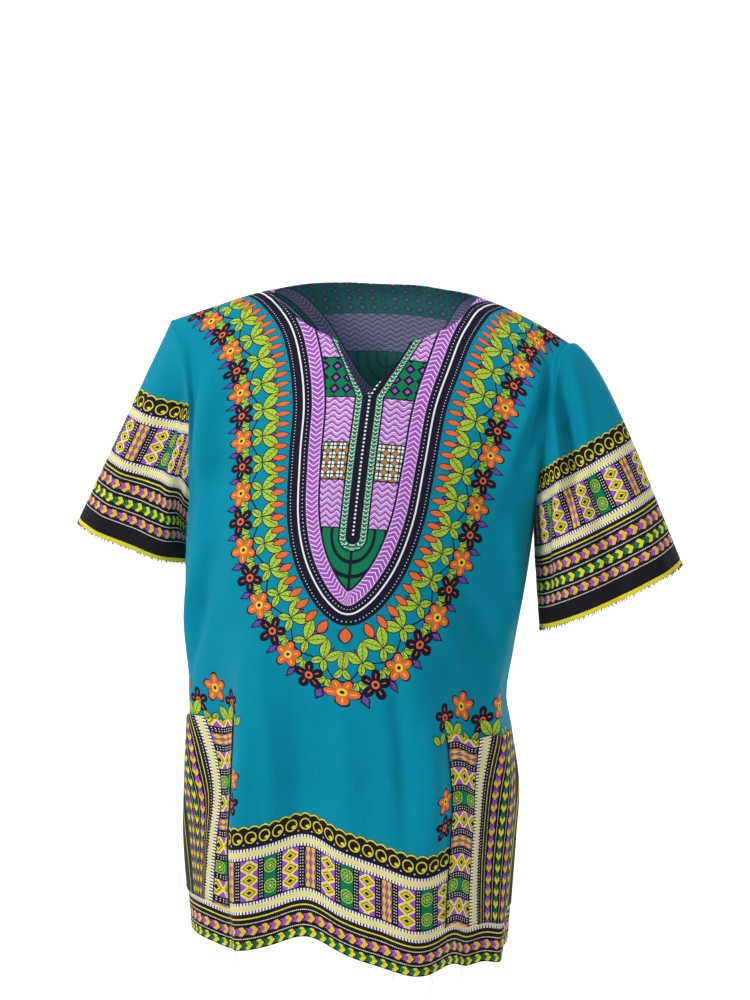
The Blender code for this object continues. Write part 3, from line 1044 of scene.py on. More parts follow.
# %% Curves of the ornament
Step = namedtuple("Step", "down half_width")
FRONT_OUTLINE = (
    Step(-60, 172), Step(0, 139), Step(40, 113), Step(85, 91), Step(130, 78), Step(180, 68), Step(240, 65),
    Step(300, 60), Step(345, 48), Step(378, 30), Step(396, 13), Step(401, 0),
)
FRONT_GARLAND = (
    Step(-60, 224), Step(0, 192), Step(40, 168), Step(85, 148), Step(130, 134), Step(180, 124),
    Step(240, 118), Step(300, 112), Step(350, 100), Step(395, 80), Step(436, 50), Step(462, 22), Step(470, 0),
)
BACK_OUTLINE = (
    Step(-60, 172), Step(0, 139), Step(40, 113), Step(85, 88), Step(130, 66), Step(165, 44), Step(188, 20),
    Step(194, 0),
)
BACK_GARLAND = (
    Step(-60, 224), Step(0, 192), Step(40, 168), Step(85, 146), Step(130, 122), Step(175, 94), Step(215, 60),
    Step(236, 26), Step(242, 0),
)


def curve_points(steps):
    """A smooth curve through the steps, closely spaced, from the bottom tip up one side."""
    places = np.array([[s.half_width, s.down] for s in steps[::-1]], float)
    mirror = places[1:2] * [-1, 1]
    ends = np.concatenate([mirror, places, 2 * places[-1:] - places[-2:-1]])
    line = []
    for p0, p1, p2, p3 in zip(ends[:-3], ends[1:-2], ends[2:-1], ends[3:]):
        for t in np.linspace(0, 1, 14, endpoint=False):
            line.append(
                0.5 * (2 * p1 + (p2 - p0) * t + (2 * p0 - 5 * p1 + 4 * p2 - p3) * t**2
                       + (3 * p1 - 3 * p2 + p3 - p0) * t**3)
            )
    return np.array(line + [places[-1]])


def along_curve(steps, cut):
    """For each place on the cut: the run along the curve from its tip, and the distance out from it."""
    line = curve_points(steps)
    start, run = line[:-1], np.diff(line, axis=0)
    length = np.linalg.norm(run, axis=1)
    total = np.concatenate([[0], np.cumsum(length)])
    flat = cut.reshape(-1, 2)
    place = np.stack([np.abs(flat[:, 0]), flat[:, 1]], axis=1)
    best = np.full(len(place), 1e9)
    t_best, sign_best = np.zeros(len(place)), np.ones(len(place))
    for p, r, l, base in zip(start, run, length, total):
        s = np.clip((place - p) @ r / l**2, 0, 1)
        offset = place - p - s[:, None] * r
        away = np.linalg.norm(offset, axis=1)
        closer = away < best
        best = np.where(closer, away, best)
        t_best = np.where(closer, base + s * l, t_best)
        side = np.where(r[0] * offset[:, 1] - r[1] * offset[:, 0] > 0, 1.0, -1.0)
        sign_best = np.where(closer, side, sign_best)
    t = t_best * np.sign(flat[:, 0] + 1e-9)
    return np.stack([t, best * sign_best], axis=1).reshape(cut.shape)


# The print lies a little off the middle of the front: by less near the shoulders, and by all of it from
# SHIFT_FULL down.
PRINT_SHIFT = 9.0
SHIFT_FULL = 300
GROUND_ZONE, YOKE_ZONE, BORDER_ZONE, SPRIG_ZONE = 0, 1, 2, 3
GARLAND_REACH, YOKE_END = 36, 600
SPRIG_TOP, SPRIG_BOTTOM, SPRIG_INSIDE = 456, 626, 90
HEM_BORDER_HEIGHT, CUFF_BORDER_HEIGHT = 126, 166


def cells(values):
    """The value in the middle of each cell of a grid."""
    return (values[:-1, :-1] + values[1:, :-1] + values[:-1, 1:] + values[1:, 1:]) / 4


def print_maps(face, cut):
    """The print's coordinates for a body panel, and the material of each cell."""
    printed = cut.copy()
    if face == FRONT:
        printed[..., 0] -= PRINT_SHIFT * ease(cut[..., 1] / SHIFT_FULL)
    outline, mid = (FRONT_OUTLINE, FRONT_GARLAND) if face == FRONT else (BACK_OUTLINE, BACK_GARLAND)
    band, frieze = along_curve(outline, printed), along_curve(mid, printed)
    zones = np.full((cut.shape[0] - 1, cut.shape[1] - 1), GROUND_ZONE)
    y, x = cells(printed[..., 1]), np.abs(cells(printed[..., 0]))
    zones[(cells(frieze[..., 1]) < GARLAND_REACH) & (y < YOKE_END)] = YOKE_ZONE
    if face == FRONT:
        zones[(y > SPRIG_TOP) & (y < SPRIG_BOTTOM) & (x > SPRIG_INSIDE)] = SPRIG_ZONE
    zones[y > LENGTH / MM - HEM_BORDER_HEIGHT] = BORDER_ZONE
    return {"cut": printed, "band": band, "frieze": frieze}, zones


def sleeve_maps(cut):
    return {"cut": cut}, np.where(cells(cut[..., 1]) < CUFF_BORDER_HEIGHT, 1, 0)


def pocket_maps(from_inner_edge, below_top):
    cut = np.stack([from_inner_edge, below_top], axis=-1)
    return {"cut": cut}, np.zeros((cut.shape[0] - 1, cut.shape[1] - 1), int)


# %% [markdown]
# ## Printed cotton
#
# Plain-weave cotton, dyed and printed with wax or resin, then pressed: a dull cloth with a faint sheen, a
# weave of about 26 threads to the centimetre, slubs that streak down the ground, and fine pale crackle
# where the wax broke. The wrong side shows the same print, paler.

# %% The cloth's material
COTTON = {"Roughness": 0.78, "Specular IOR Level": 0.08, "Sheen Weight": 0.03, "Sheen Roughness": 0.45}
THREAD_SPACING = 0.39
WRONG_SIDE = colour("#5FA9B8")


def flat_place(tree, layer):
    """A named layer of places on the cut, and its two coordinates."""
    place = add_node(tree, "UVMap", uv_map=layer)
    return place, *(add_node(tree, "SeparateXYZ", place, output=i) for i in (0, 1))


def printed_cotton(name, draw):
    """Makes the material of one zone: `draw` lays the print on the ground colour."""
    made, shader = new_material(name, COTTON)
    tree = made.node_tree
    place, x, y = flat_place(tree, "cut")
    slub = add_node(tree, "CombineXYZ", x * 0.9, y * 0.035, 0.0)
    streak = add_node(tree, "TexNoise", slub, None, 1.0, 3.0, 0.6)
    cloud = add_node(tree, "TexNoise", place, None, 0.02, 2.0, 0.5)
    crackle = add_node(tree, "TexNoise", place, None, 0.5, 4.0, 0.7)
    picture = add_node(tree, "RGB")
    picture.socket.default_value = TEAL
    picture = draw(tree, picture, x + (crackle - 0.5) * 1.1, y + (crackle - 0.5) * -1.1)
    tone = (streak - 0.5) * 0.30 + (cloud - 0.5) * 0.14 + (crackle - 0.5) * 0.10 + 1.0
    inside = add_node(tree, "Attribute", attribute_name="inside", output=2)
    picture = shade(paint(picture, inside * 0.42, WRONG_SIDE), tone)
    tree.links.new(picture.socket, shader.inputs["Base Color"])
    warp = (x * (2 * np.pi / THREAD_SPACING)).op("SINE")
    weft = (y * (2 * np.pi / THREAD_SPACING)).op("SINE")
    weave = warp * weft * 0.5 + streak * 1.2
    bump = add_node(tree, "Bump", 0.25, 0.0002, None, weave)
    tree.links.new(bump.socket, shader.inputs["Normal"])
    return made


def draw_ground(tree, picture, x, y):
    return picture


def draw_yoke(panels, placket):
    def draw(tree, picture, x, y):
        _, t, d = flat_place(tree, "band")
        _, along, away = flat_place(tree, "frieze")
        picture = drops(garland(picture, along, away), t, d)
        return neck_bands(picture, x, y, t, d, panels, placket)

    return draw


def draw_hem(tree, picture, x, y):
    return border(picture, x, y * -1 + LENGTH / MM, HEM_ROWS)


def draw_cuff(tree, picture, x, y):
    return border(picture, x, y, CUFF_ROWS)


Sprig = namedtuple("Sprig", "kind x y size ink heart")
SPRIGS = (
    Sprig("blossom", 8, 498, 15, INK, CORAL),
    Sprig("blossom", 36, 482, 17, CORAL, YELLOW),
    Sprig("blossom", 64, 498, 15, INK, CORAL),
    Sprig("blossom", 92, 484, 17, CORAL, YELLOW),
    Sprig("leaves", -3, 517, 15, None, None),
    Sprig("leaves", 21, 509, 23, None, None),
    Sprig("leaves", 49, 514, 17, None, None),
    Sprig("leaves", 76, 506, 24, None, None),
    Sprig("leaves", 105, 514, 18, None, None),
    Sprig("blossom", 4, 578, 13, CORAL, YELLOW),
    Sprig("blossom", 5, 604, 13, INK, CORAL),
)
POCKET_EDGE = 115.0


def draw_sprigs(tree, picture, x, y):
    """Blossoms and leaves that stand out behind each pocket."""
    side = abs(x + PRINT_SHIFT) - POCKET_EDGE
    for sprig in SPRIGS:
        a, b = side - sprig.x, y * -1 + sprig.y
        if sprig.kind == "leaves":
            picture = leaves(picture, a, b + sprig.size * 0.4, sprig.size, sprig.size * 0.28)
        else:
            picture = blossom(picture, a, b, sprig.size, sprig.ink, sprig.heart)
    return picture


BLOCKS_MIDDLE, BLOCKS_HALF, BLOCKS_START = 14.5, 14.0, 30
UPRIGHT_ROWS = (
    BorderRow("teeth", 34.5, 5.2, 0, CREAM, NIGHT),
    BorderRow("dots", 43.0, 0.6, 3.0, WHITE, None),
    BorderRow("line", 48.0, 0.6, 0, YELLOW, None),
    BorderRow("dashes", 53.5, 0.42, 0, WHITE, None),
    BorderRow("chain", 62.0, 5.0, 12.4, PURPLE, GOLD),
    BorderRow("dashes", 70.5, 0.42, 0, WHITE, None),
    BorderRow("chain", 79.0, 4.8, 12.4, GREEN, YELLOW),
    BorderRow("dashes", 87.5, 0.42, 0, WHITE, None),
    BorderRow("chain", 96.0, 4.8, 12.4, PURPLE, GOLD),
    BorderRow("dashes", 104.5, 0.42, 0, WHITE, None),
    BorderRow("chain", 113.0, 4.8, 12.4, GREEN, YELLOW),
    BorderRow("dashes", 121.5, 0.42, 0, WHITE, None),
    BorderRow("line", 157.0, 2.6, 0, YELLOW, None),
)


def draw_pocket(tree, picture, x, y):
    """The border turned upright: its block row lies along the pocket's inner edge."""
    picture = paint(picture, x > -5, BLACK)
    picture = block_row(picture, y + BLOCKS_START, x - BLOCKS_MIDDLE, BLOCKS_HALF)
    return border_rows(picture, y, x, UPRIGHT_ROWS)


ground = printed_cotton("teal_wax_print_cotton_ground", draw_ground)
hem = printed_cotton("wax_print_cotton_hem_border", draw_hem)
sprigs = printed_cotton("wax_print_cotton_sprigs", draw_sprigs)
yoke_front = printed_cotton("wax_print_cotton_front_yoke", draw_yoke(NECK_PANELS, True))
yoke_back = printed_cotton("wax_print_cotton_back_yoke", draw_yoke(BACK_PANELS, False))
cuff_border = printed_cotton("wax_print_cotton_cuff_border", draw_cuff)
pocket_cloth = printed_cotton("wax_print_cotton_pocket", draw_pocket)
BODY_MATERIALS = {"front": (ground, yoke_front, hem, sprigs), "back": (ground, yoke_back, hem, sprigs)}
SLEEVE_MATERIALS = (ground, cuff_border)
POCKET_MATERIALS = (pocket_cloth,)
for made in (ground, hem, sprigs, yoke_front, yoke_back, cuff_border, pocket_cloth):
    print(made.name, "has", len(made.node_tree.nodes), "nodes")

# %% [markdown]
# ## Front and back
#
# Front and back are the two halves of one length of cloth. Each could be a square grid with the neck cut
# out of it. Here the rows start at the neckline, so its edge is smooth, and end at the hem. Cells take
# their material from where they lie on the cut.

# %% Body panels
POCKET_TOP = 0.515
POCKET_BOTTOM = 0.709


def half_columns(*runs):
    """Places across one half, from 0 to 1, from runs of (start, end, number of steps), and their mirror."""
    places = [np.linspace(start, end, steps, endpoint=False) for start, end, steps in runs]
    places = np.concatenate([*places, [1.0]])
    return np.concatenate([-places[:0:-1], places])


SLIT_ACROSS = SLIT_HALF_WIDTH / 0.190
NECK_ACROSS = NECK_HALF_WIDTH / BODY[0].half_width
POCKET_ACROSS = 0.43
POCKET_END = 0.985
FRONT_COLUMNS = half_columns(
    (0, SLIT_ACROSS, 10), (SLIT_ACROSS, POCKET_ACROSS, 22), (POCKET_ACROSS, NECK_ACROSS, 5),
    (NECK_ACROSS, POCKET_END, 40), (POCKET_END, 1, 2),
)
BACK_COLUMNS = half_columns((0, NECK_ACROSS, 36), (NECK_ACROSS, 1, 42))
UPPER_STEPS = 72
UPPER_ROWS = np.linspace(0, 1, UPPER_STEPS + 1) ** 1.15
POCKET_ROWS = np.linspace(POCKET_TOP / LENGTH, POCKET_BOTTOM / LENGTH, 56)
LOWER_ROWS = np.concatenate(
    [np.linspace(ARMHOLE_END, POCKET_ROWS[0], 82)[1:-1], POCKET_ROWS, np.linspace(POCKET_ROWS[-1], 1, 13)[1:]]
)


def panel_places(columns, neck):
    """Places of a panel's points, row by row from its neckline and shoulder to its hem."""
    top = neck(columns)
    upper = top + (ARMHOLE_END - top) * UPPER_ROWS[:, None]
    lower = LOWER_ROWS[:, None] + 0 * columns
    down = np.concatenate([upper, lower])
    return columns + 0 * down, down


def body_panel(face, across, down):
    """Points of a panel with its small creases, the directions out of it, and its places on the cut."""
    x, y = cut_across(face, across, down), down * LENGTH / MM
    direction = outward(face, across, down)
    calm = ease((1 - np.abs(across)) / 0.06) * ease(down / 0.03)
    height = crease_height(face, x, y) * calm
    points = body_points(face, across, down) + height[..., None] * direction
    return points, direction, np.stack([x, y], axis=-1)


PANELS = {}
for name, face, columns, neck in (
    ("back", BACK, BACK_COLUMNS, back_neck),
    ("front", FRONT, FRONT_COLUMNS, front_neck),
):
    across, down = panel_places(columns, neck)
    points, direction, cut = body_panel(face, across, down)
    PANELS[name] = (across, down, points, direction, cut)
    maps, zones = print_maps(face, cut)
    piece = cloth_mesh(name + "_cloth", points, direction, maps, zones, turned=face == BACK)
    dress(piece, name, BODY_MATERIALS[name])
    print(name, "panel:", points.shape[0], "by", points.shape[1], "points")

# %% [markdown]
# ## Sleeves
#
# Each sleeve is a straight piece of the same cloth, sewn shut under the arm, with the border along its cuff
# and the yellow selvedge left raw at the edge. It could be a plain tube pushed into the body, but then no
# seam would show. So its first ring takes the body's own points round the armhole, and its last starts from
# an ellipse for the open cuff.

# %% Sleeves
SLEEVE_ROUND = 2 * UPPER_STEPS
SLEEVE_STEPS = 78
Cuff = namedtuple("Cuff", "side middle outward forward bulge slack")
CUFFS = {
    "sleeve_right": Cuff(
        RIGHT, (-0.272, 0.060, -0.281), (-0.068, -0.012, 0.021), (0.000, -0.054, -0.006), 0.000, 0.012
    ),
    "sleeve_left": Cuff(
        LEFT, (0.246, -0.012, -0.308), (0.075, -0.006, 0.039), (0.004, -0.060, -0.004), 0.015, 0.000
    ),
}

SleeveFold = namedtuple("SleeveFold", "around start end half_width height")
SLEEVE_FOLDS = (
    SleeveFold(0.20, -0.30, 0.90, 0.045, -0.012),
    SleeveFold(0.32, 0.10, 1.30, 0.045, 0.008),
    SleeveFold(0.72, -0.20, 1.10, 0.060, -0.010),
    SleeveFold(0.84, 0.20, 1.30, 0.050, 0.006),
)


def armhole_ring(side):
    """Points of the body round an armhole, from the shoulder by the front, and directions into its cloth."""
    down = UPPER_ROWS * ARMHOLE_END
    edge = side * np.ones_like(down)
    front = body_points(FRONT, edge, down), outward(FRONT, edge, down)
    back = body_points(BACK, edge, down), outward(BACK, edge, down)
    points, out = (
        np.concatenate([[(f[0] + b[0]) / 2], f[1:-1], [(f[-1] + b[-1]) / 2], b[-2:0:-1]])
        for f, b in zip(front, back)
    )
    tangent = np.roll(points, -1, axis=0) - np.roll(points, 1, axis=0)
    return points, unit(-side * np.cross(out, tangent))


def grid_directions(grid, side):
    """Directions out of a sleeve, from its slopes along and round it."""
    slope_round = np.roll(grid, -1, axis=1) - np.roll(grid, 1, axis=1)
    slope_along = np.gradient(grid, axis=0)
    return unit(-side * np.cross(slope_along, slope_round))


SleeveCrease = namedtuple("SleeveCrease", "side around0 along0 around1 along1 half_width height")
SLEEVE_CREASES = (
    SleeveCrease(LEFT, 0.15, 0.00, 0.30, 0.55, 0.026, -9.0),
    SleeveCrease(LEFT, 0.09, 0.02, 0.22, 0.50, 0.026, 5.5),
    SleeveCrease(LEFT, 0.22, 0.02, 0.37, 0.60, 0.022, 5.0),
    SleeveCrease(LEFT, 0.34, 0.10, 0.42, 0.85, 0.026, -3.6),
    SleeveCrease(LEFT, 0.20, 0.45, 0.24, 1.25, 0.026, -7.5),
    SleeveCrease(LEFT, 0.13, 0.45, 0.12, 1.25, 0.030, 6.0),
    SleeveCrease(LEFT, 0.90, 0.05, 0.80, 0.60, 0.030, -3.0),
    SleeveCrease(LEFT, 0.70, 0.05, 0.66, 0.90, 0.030, -3.0),
    SleeveCrease(RIGHT, 0.20, 0.00, 0.30, 0.80, 0.028, -4.0),
    SleeveCrease(RIGHT, 0.12, 0.10, 0.16, 1.25, 0.028, 2.6),
    SleeveCrease(RIGHT, 0.26, 0.25, 0.28, 1.05, 0.026, 2.2),
    SleeveCrease(RIGHT, 0.90, 0.05, 0.84, 0.70, 0.030, -3.0),
    SleeveCrease(RIGHT, 0.72, 0.05, 0.70, 0.90, 0.030, -2.6),
)


SLEEVE_RIPPLES = (Ripple(0.7, 30, 70, 21), Ripple(0.35, 13, 22, 31))
SLEEVE_GIRTH, SLEEVE_LENGTH = 400, 240


def sleeve_creases(side, around, along):
    """Height of a sleeve's small creases, in metres."""
    around, along = np.broadcast_arrays(around, along)
    height = np.zeros(around.shape)
    for crease in SLEEVE_CREASES:
        if crease.side != side:
            continue
        t = (along - crease.along0) / (crease.along1 - crease.along0)
        middle = crease.around0 + (crease.around1 - crease.around0) * t
        strength = np.sin(np.pi * np.clip(t, 0, 1)) ** 0.7
        height += crease.height * strength * np.exp(-(((around - middle) / crease.half_width) ** 2))
    blend = ease(np.minimum(around, 1 - around) / 0.08)
    height += blend * ripples(around * SLEEVE_GIRTH, along * SLEEVE_LENGTH, SLEEVE_RIPPLES, side)
    return height * MM


# How much taller the border lies on a sleeve: all round, and most where the sleeve meets the body in front.
Ease = namedtuple("Ease", "whole front middle spread")
PRINT_EASE = {LEFT: Ease(0.0, 0.0, 0.36, 0.16), RIGHT: Ease(0.07, 0.30, 0.46, 0.19)}


def sleeve_grid(side, middle, outward_half, forward_half, bulge, slack):
    """Points of a sleeve from the armhole seam to the open cuff, directions out of it, and its flat cut."""
    ring, into_body = armhole_ring(side)
    around = np.arange(SLEEVE_ROUND) / SLEEVE_ROUND
    turn = around * 2 * np.pi
    cuff = np.array(middle) + np.outer(np.cos(turn), outward_half) + np.outer(np.sin(turn), forward_half)
    along = np.linspace(0, 1, SLEEVE_STEPS + 1)[:, None]
    grid = ring + (lean(cuff) - ring) * along[..., None]
    swell = bulge * np.sin(np.pi * along**0.5) * np.clip(np.cos(turn), 0, 1) ** 2
    grid = grid + swell[..., None] * np.array([side * 0.8, 0, 0.6])
    under = slack * np.sin(np.pi * along) * np.clip(-np.cos(turn), 0, 1)
    grid = grid + under[..., None] * np.array([side, 0, 0])
    direction = grid_directions(grid, side)
    for fold in SLEEVE_FOLDS:
        bump = np.exp(-(((around - fold.around) / fold.half_width) ** 2))
        strength = fade(along, fold.start, fold.end) * ease(along / 0.2)
        grid = grid + (fold.height * bump * strength)[..., None] * direction
    length = np.linalg.norm(np.diff(grid, axis=0), axis=2)
    to_cuff = np.concatenate([np.cumsum(length[::-1], axis=0)[::-1], np.zeros((1, SLEEVE_ROUND))]) / MM
    eased = PRINT_EASE[side]
    to_cuff /= 1 + eased.whole + eased.front * np.exp(-(((around - eased.middle) / eased.spread) ** 2))
    height = sleeve_creases(side, around, along)
    grid = grid + (height * ease(along / 0.06))[..., None] * direction
    grid[0] = grid[0] + SEAM_GAP * unit(unit(grid[1] - grid[0]) - into_body)
    direction = grid_directions(grid, side)
    overlap = np.clip(-np.sum(direction[0] * into_body, axis=-1, keepdims=True), 0, None)
    direction[0] = unit(direction[0] + overlap * into_body)
    half = SLEEVE_ROUND // 2
    grid, direction, to_cuff = (np.roll(part, half, axis=1) for part in (grid, direction, to_cuff))
    girth = np.linalg.norm(np.roll(grid, -1, axis=1) - grid, axis=2)[-1]
    from_top = np.concatenate([[0], np.cumsum(girth)]) / MM
    from_top -= from_top[half]
    to_cuff = np.concatenate([to_cuff, to_cuff[:, :1]], axis=1)
    return grid, direction, np.stack([-side * from_top + 0 * to_cuff, to_cuff], axis=-1)


CUFF_EDGES = {}
for name, cuff in CUFFS.items():
    points, direction, cut = sleeve_grid(*cuff)
    maps, zones = sleeve_maps(cut)
    piece = cloth_mesh(name + "_cloth", points, direction, maps, zones, wrap=True, turned=cuff.side == LEFT)
    dress(piece, name, SLEEVE_MATERIALS)
    CUFF_EDGES[name] = points[-1], unit(points[-1] - points[-2])
    print(name, "is", round(float(np.ptp(cut[-1, :, 0]))), "mm round at the cuff")

# %% [markdown]
# ## Pockets
#
# A patch pocket is cut from the border with its stripes upright, laid on the front and stitched round three
# sides. It takes the front's own points between its edges, moved out, so it follows every fold of the
# front. Real pockets gape and sag, so their rows lean outward at the mouth. Here the print alone leans.

# %% Pockets
POCKET_SLACK = 0.0022
CREAM_LINE = UPRIGHT_ROWS[0].middle
Gather = namedtuple("Gather", "down cream_line crowding")
GATHERS = {
    RIGHT: (
        Gather(0.00, 60.0, 1.0),
        Gather(0.12, 51.0, 1.0),
        Gather(0.36, 41.0, 1.2),
        Gather(0.62, 47.0, 2.6),
        Gather(1.00, 59.0, 4.2),
    ),
    LEFT: (
        Gather(0.00, 61.0, 1.1),
        Gather(0.30, 48.0, 1.4),
        Gather(0.60, 48.0, 1.6),
        Gather(1.00, 53.0, 1.9),
    ),
}


def gathered(side, from_inner_edge, down):
    """A pocket's print: its rows lean outward at the mouth and crowd together further down."""
    line = column(GATHERS[side], "cream_line", down)
    crowding = column(GATHERS[side], "crowding", down)
    inner = CREAM_LINE * from_inner_edge / line
    outer = CREAM_LINE + (from_inner_edge - line) * crowding
    return np.where(from_inner_edge < line, inner, outer)


across, down, points, direction, cut = PANELS["front"]
rows = np.flatnonzero((down[:, 0] > POCKET_ROWS[0] - 1e-6) & (down[:, 0] < POCKET_ROWS[-1] + 1e-6))
for name, side in (("pocket_right", RIGHT), ("pocket_left", LEFT)):
    place = side * FRONT_COLUMNS
    columns = np.flatnonzero((place > POCKET_ACROSS - 1e-6) & (place < POCKET_END + 1e-6))
    patch = np.ix_(rows, columns)
    t = (down[patch] - POCKET_ROWS[0]) / (POCKET_ROWS[-1] - POCKET_ROWS[0])
    s = (place[columns] - POCKET_ACROSS) / (POCKET_END - POCKET_ACROSS)
    slack = POCKET_SLACK * (1 - t) ** 2 * np.sin(np.pi * s)
    offset = SEAM_GAP + THICKNESS + slack
    outer = points[patch] + offset[..., None] * direction[patch]
    from_inner_edge = np.abs(cut[patch][..., 0] - cut[patch][:, [0 if side == LEFT else -1], 0])
    below_top = cut[patch][..., 1] - POCKET_TOP / MM
    maps, zones = pocket_maps(gathered(side, from_inner_edge, t), below_top)
    piece = cloth_mesh(name + "_cloth", outer, direction[patch], maps, zones)
    dress(piece, name, POCKET_MATERIALS)
    print(name, "width along the cloth, mm:", round(float(from_inner_edge.max())))

# %% [markdown]
# ## Stitches and threads
#
# Stitches, frayed ends and loose threads are all thin tubes, made by one function and joined to one mesh
# for each seam or edge. Curve objects with a bevel could make them too, but each stitch is so short that a
# few rings of points are enough.

# %% Thread tubes
THREAD_SIDES = 5


def thread_mesh(name, lines, radius, material):
    """One piece from many thin tubes, each given as a list of points along its middle."""
    vertices, faces = [], []
    for line in lines:
        line = np.asarray(line, float)
        run = unit(np.gradient(line, axis=0))
        side = unit(np.cross(run, [0.31, 0.83, 0.46]))
        up = np.cross(run, side)
        base = len(vertices)
        for point, a, b in zip(line, side, up):
            for k in range(THREAD_SIDES):
                turn = 2 * np.pi * k / THREAD_SIDES
                vertices.append(point + radius * (np.cos(turn) * a + np.sin(turn) * b))
        for i in range(len(line) - 1):
            for k in range(THREAD_SIDES):
                low = base + i * THREAD_SIDES + k
                next_low = base + i * THREAD_SIDES + (k + 1) % THREAD_SIDES
                faces.append((low, next_low, next_low + THREAD_SIDES, low + THREAD_SIDES))
        faces.append(tuple(base + k for k in range(THREAD_SIDES))[::-1])
        faces.append(tuple(base + (len(line) - 1) * THREAD_SIDES + k for k in range(THREAD_SIDES)))
    mesh = bpy.data.meshes.new(name)
    mesh.from_pydata([tuple(v) for v in vertices], [], faces)
    mesh.shade_smooth()
    mesh.materials.append(material)
    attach(add_object(name, mesh), "root")
    print(name, "has", len(lines), "threads")


def thread_material(name, hex_colour):
    """Spun cotton thread: dull, and uneven in tone along its length."""
    made, shader = new_material(name, {"Roughness": 0.85, "Specular IOR Level": 0.15})
    tree = made.node_tree
    place = add_node(tree, "TexCoord", output=3)
    mottle = add_node(tree, "TexNoise", place, None, 900.0, 2.0, 0.5)
    dyed = add_node(tree, "RGB")
    dyed.socket.default_value = colour(hex_colour)
    dyed = shade(dyed, mottle * 0.5 + 0.75)
    tree.links.new(dyed.socket, shader.inputs["Base Color"])
    bump = add_node(tree, "Bump", 0.5, 0.0001, None, mottle)
    tree.links.new(bump.socket, shader.inputs["Normal"])
    return made


# %% [markdown]
# ## Machine stitches
#
# Machine stitches run beside the neck edge, round three sides of each pocket and along the hem. Each stitch
# is a short arched thread whose ends sink into the cloth. A path on the flat cut says where a seam runs.

# %% Stitches
STITCH_PITCH = 3.2
STITCH_LENGTH = 2.3
STITCH_RADIUS = 0.00022
NECK_INSET, POCKET_INSET, HEM_INSET = 4.5, 2.4, 6.5
CUT_HALF_WIDTH = 270


def evenly(path, pitch):
    """Places every `pitch` along a path on the flat cut, and the unit run of the path at each."""
    path = np.asarray(path, float)
    total = np.concatenate([[0], np.cumsum(np.linalg.norm(np.diff(path, axis=0), axis=1))])
    at = np.arange(pitch / 2, total[-1], pitch)
    spots = np.stack([np.interp(at, total, path[:, i]) for i in (0, 1)], axis=1)
    ahead = np.stack([np.interp(at + 0.5, total, path[:, i]) for i in (0, 1)], axis=1)
    behind = np.stack([np.interp(at - 0.5, total, path[:, i]) for i in (0, 1)], axis=1)
    return spots, unit(ahead - behind)


def on_cloth(face, x, y):
    """Points of the cloth and the directions out of it, at places on its flat cut."""
    row = y * MM / LENGTH * (len(TABLE_DOWN) - 1)
    low = np.clip(row.astype(int), 0, len(TABLE_DOWN) - 2)
    table = CUT[face]
    across = np.array([
        np.interp(place, table[r] * (1 - t) + table[r + 1] * t, TABLE_ACROSS)
        for place, r, t in zip(x, low, row - low)
    ])
    points, direction, _ = body_panel(face, across, y * MM / LENGTH)
    return points, direction


def stitch_lines(face, path, lift):
    """Arched threads along a path on the cut. Their ends sink into the cloth."""
    spots, run = evenly(path, STITCH_PITCH)
    lines = []
    for offset, rise in ((-0.5, -0.3), (-0.3, 0.9), (0.3, 0.9), (0.5, -0.3)):
        place = spots + run * STITCH_LENGTH * offset
        points, direction = on_cloth(face, place[:, 0], place[:, 1])
        lines.append(points + (lift + rise * STITCH_RADIUS) * direction)
    return list(np.stack(lines, axis=1))


def edge_path(face, neck, inset):
    """The neckline on the cut, moved into the cloth."""
    across = np.linspace(-NECK_ACROSS * 0.985, NECK_ACROSS * 0.985, 241)
    down = neck(across)
    path = np.stack([cut_across(face, across, down), down * LENGTH / MM], axis=1)
    run = unit(np.gradient(path, axis=0))
    return path + inset * np.stack([-run[:, 1], run[:, 0]], axis=1)


def pocket_path(side, inset):
    """Down the inner edge of a pocket, along its bottom and up its outer edge."""
    inner, outer = POCKET_ACROSS + inset / CUT_HALF_WIDTH, POCKET_END - inset / CUT_HALF_WIDTH
    bottom = POCKET_BOTTOM - inset * MM
    across = np.array([inner, inner, outer, outer])
    down = np.array([POCKET_TOP, bottom, bottom, POCKET_TOP])
    t = np.linspace(0, 3, 121)
    across, down = (np.interp(t, range(4), corner) for corner in (across, down / LENGTH))
    return np.stack([cut_across(FRONT, side * across, down), down * LENGTH / MM], axis=1)


def hem_path(face):
    across = np.linspace(-0.965, 0.965, 161)
    down = np.full_like(across, 1 - HEM_INSET * MM / LENGTH)
    return np.stack([cut_across(face, across, down), down * LENGTH / MM], axis=1)


dark_thread = thread_material("navy_cotton_sewing_thread", "#23233A")
teal_thread = thread_material("teal_cotton_sewing_thread", "#0A6C84")
frayed_ends = thread_material("frayed_dark_green_cotton_ends", "#1D3B2C")
POCKET_LIFT = SEAM_GAP + THICKNESS
for name, face, path in (
    ("stitches_front_neck", FRONT, edge_path(FRONT, front_neck, NECK_INSET)),
    ("stitches_back_neck", BACK, edge_path(BACK, back_neck, NECK_INSET)),
    ("stitches_front_hem", FRONT, hem_path(FRONT)),
    ("stitches_back_hem", BACK, hem_path(BACK)),
):
    thread_mesh(name, stitch_lines(face, path, 0), STITCH_RADIUS, dark_thread)
for name, side in (("stitches_pocket_right", RIGHT), ("stitches_pocket_left", LEFT)):
    lines = stitch_lines(FRONT, pocket_path(side, POCKET_INSET), POCKET_LIFT)
    thread_mesh(name, lines, STITCH_RADIUS, teal_thread)

# %% [markdown]
# ## Frayed cuffs and loose threads
#
# The selvedge at the cuffs was left raw, so dark ends of its threads stick out of it, and a few loose
# threads hang from the hem. The ends at the cuffs are drawn some three times as thick as real ones, so that
# they show.

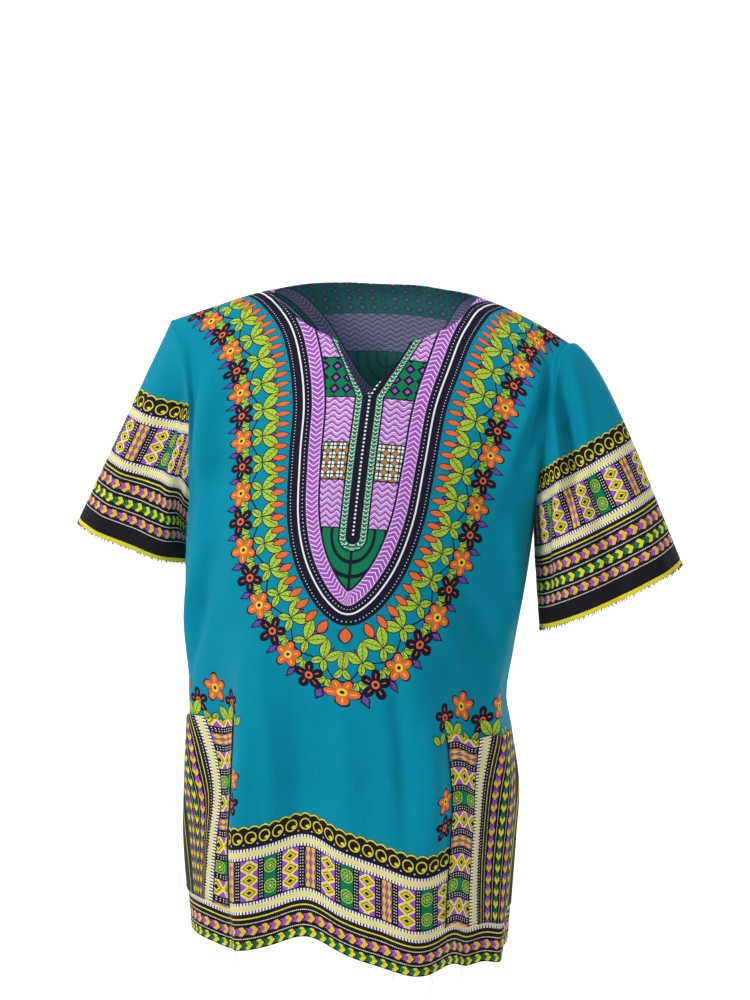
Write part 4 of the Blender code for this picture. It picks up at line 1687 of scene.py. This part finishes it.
# %% Frayed cuffs and loose threads
FRAY_RADIUS = 0.00034
LOOSE_RADIUS = 0.00018
rng = np.random.default_rng(12)
for name, (edge, run) in CUFF_EDGES.items():
    lines = []
    for i in range(len(edge)):
        for _ in range(2):
            t = rng.uniform()
            root = edge[i] * (1 - t) + edge[(i + 1) % len(edge)] * t
            lean_side = unit(edge[(i + 1) % len(edge)] - edge[i]) * rng.uniform(-0.5, 0.5)
            way = unit(run[i] + lean_side)
            length = rng.uniform(1.2, 3.4) * MM
            lines.append([root - way * 0.6 * MM, root + way * length * 0.5, root + way * length])
    thread_mesh("frayed_edge_" + name, lines, FRAY_RADIUS, frayed_ends)

LooseThread = namedtuple("LooseThread", "across length curl")
LOOSE_THREADS = (
    LooseThread(-0.42, 0.020, 0.0030),
    LooseThread(0.22, 0.014, 0.0022),
    LooseThread(0.36, 0.021, 0.0040),
    LooseThread(0.55, 0.017, 0.0026),
)
lines = []
for loose in LOOSE_THREADS:
    root = body_points(FRONT, np.array([loose.across]), np.array([0.997]))[0] + np.array([0, 0.0006, 0])
    t = np.linspace(0, 1, 24)[:, None]
    wave = np.concatenate([np.sin(t * 5.2), -0.6 * np.sin(t * 3.1), 0 * t], axis=1) * loose.curl
    lines.append(root + wave * t**0.5 + t * np.array([0.2 * loose.length, 0, -loose.length]))
thread_mesh("loose_hem_threads", lines, LOOSE_RADIUS, dark_thread)

# %% [markdown]
# ## The cut of each piece
#
# A table states what each piece measures flat, before it is sewn: its width, its length and its area. No
# pattern of the shirt is known, so the sizes were measured along the modelled cloth.

# %% Flat sizes
Cut = namedtuple("Cut", "piece width length area rests_on trimmings")
CUTS = (
    Cut(
        "front_cloth", 0.55, 0.75, 0.33, (),
        ("stitches_front_neck", "stitches_front_hem", "loose_hem_threads"),
    ),
    Cut("back_cloth", 0.55, 0.75, 0.33, (), ("stitches_back_neck", "stitches_back_hem")),
    Cut("sleeve_right_cloth", 0.49, 0.26, 0.072, (), ("frayed_edge_sleeve_right",)),
    Cut("sleeve_left_cloth", 0.49, 0.26, 0.072, (), ("frayed_edge_sleeve_left",)),
    Cut("pocket_right_cloth", 0.15, 0.194, 0.029, ("front_cloth",), ("stitches_pocket_right",)),
    Cut("pocket_left_cloth", 0.15, 0.194, 0.029, ("front_cloth",), ("stitches_pocket_left",)),
)
for cut_piece in CUTS:
    print(cut_piece.piece, "is cut", cut_piece.width, "by", cut_piece.length, "m")
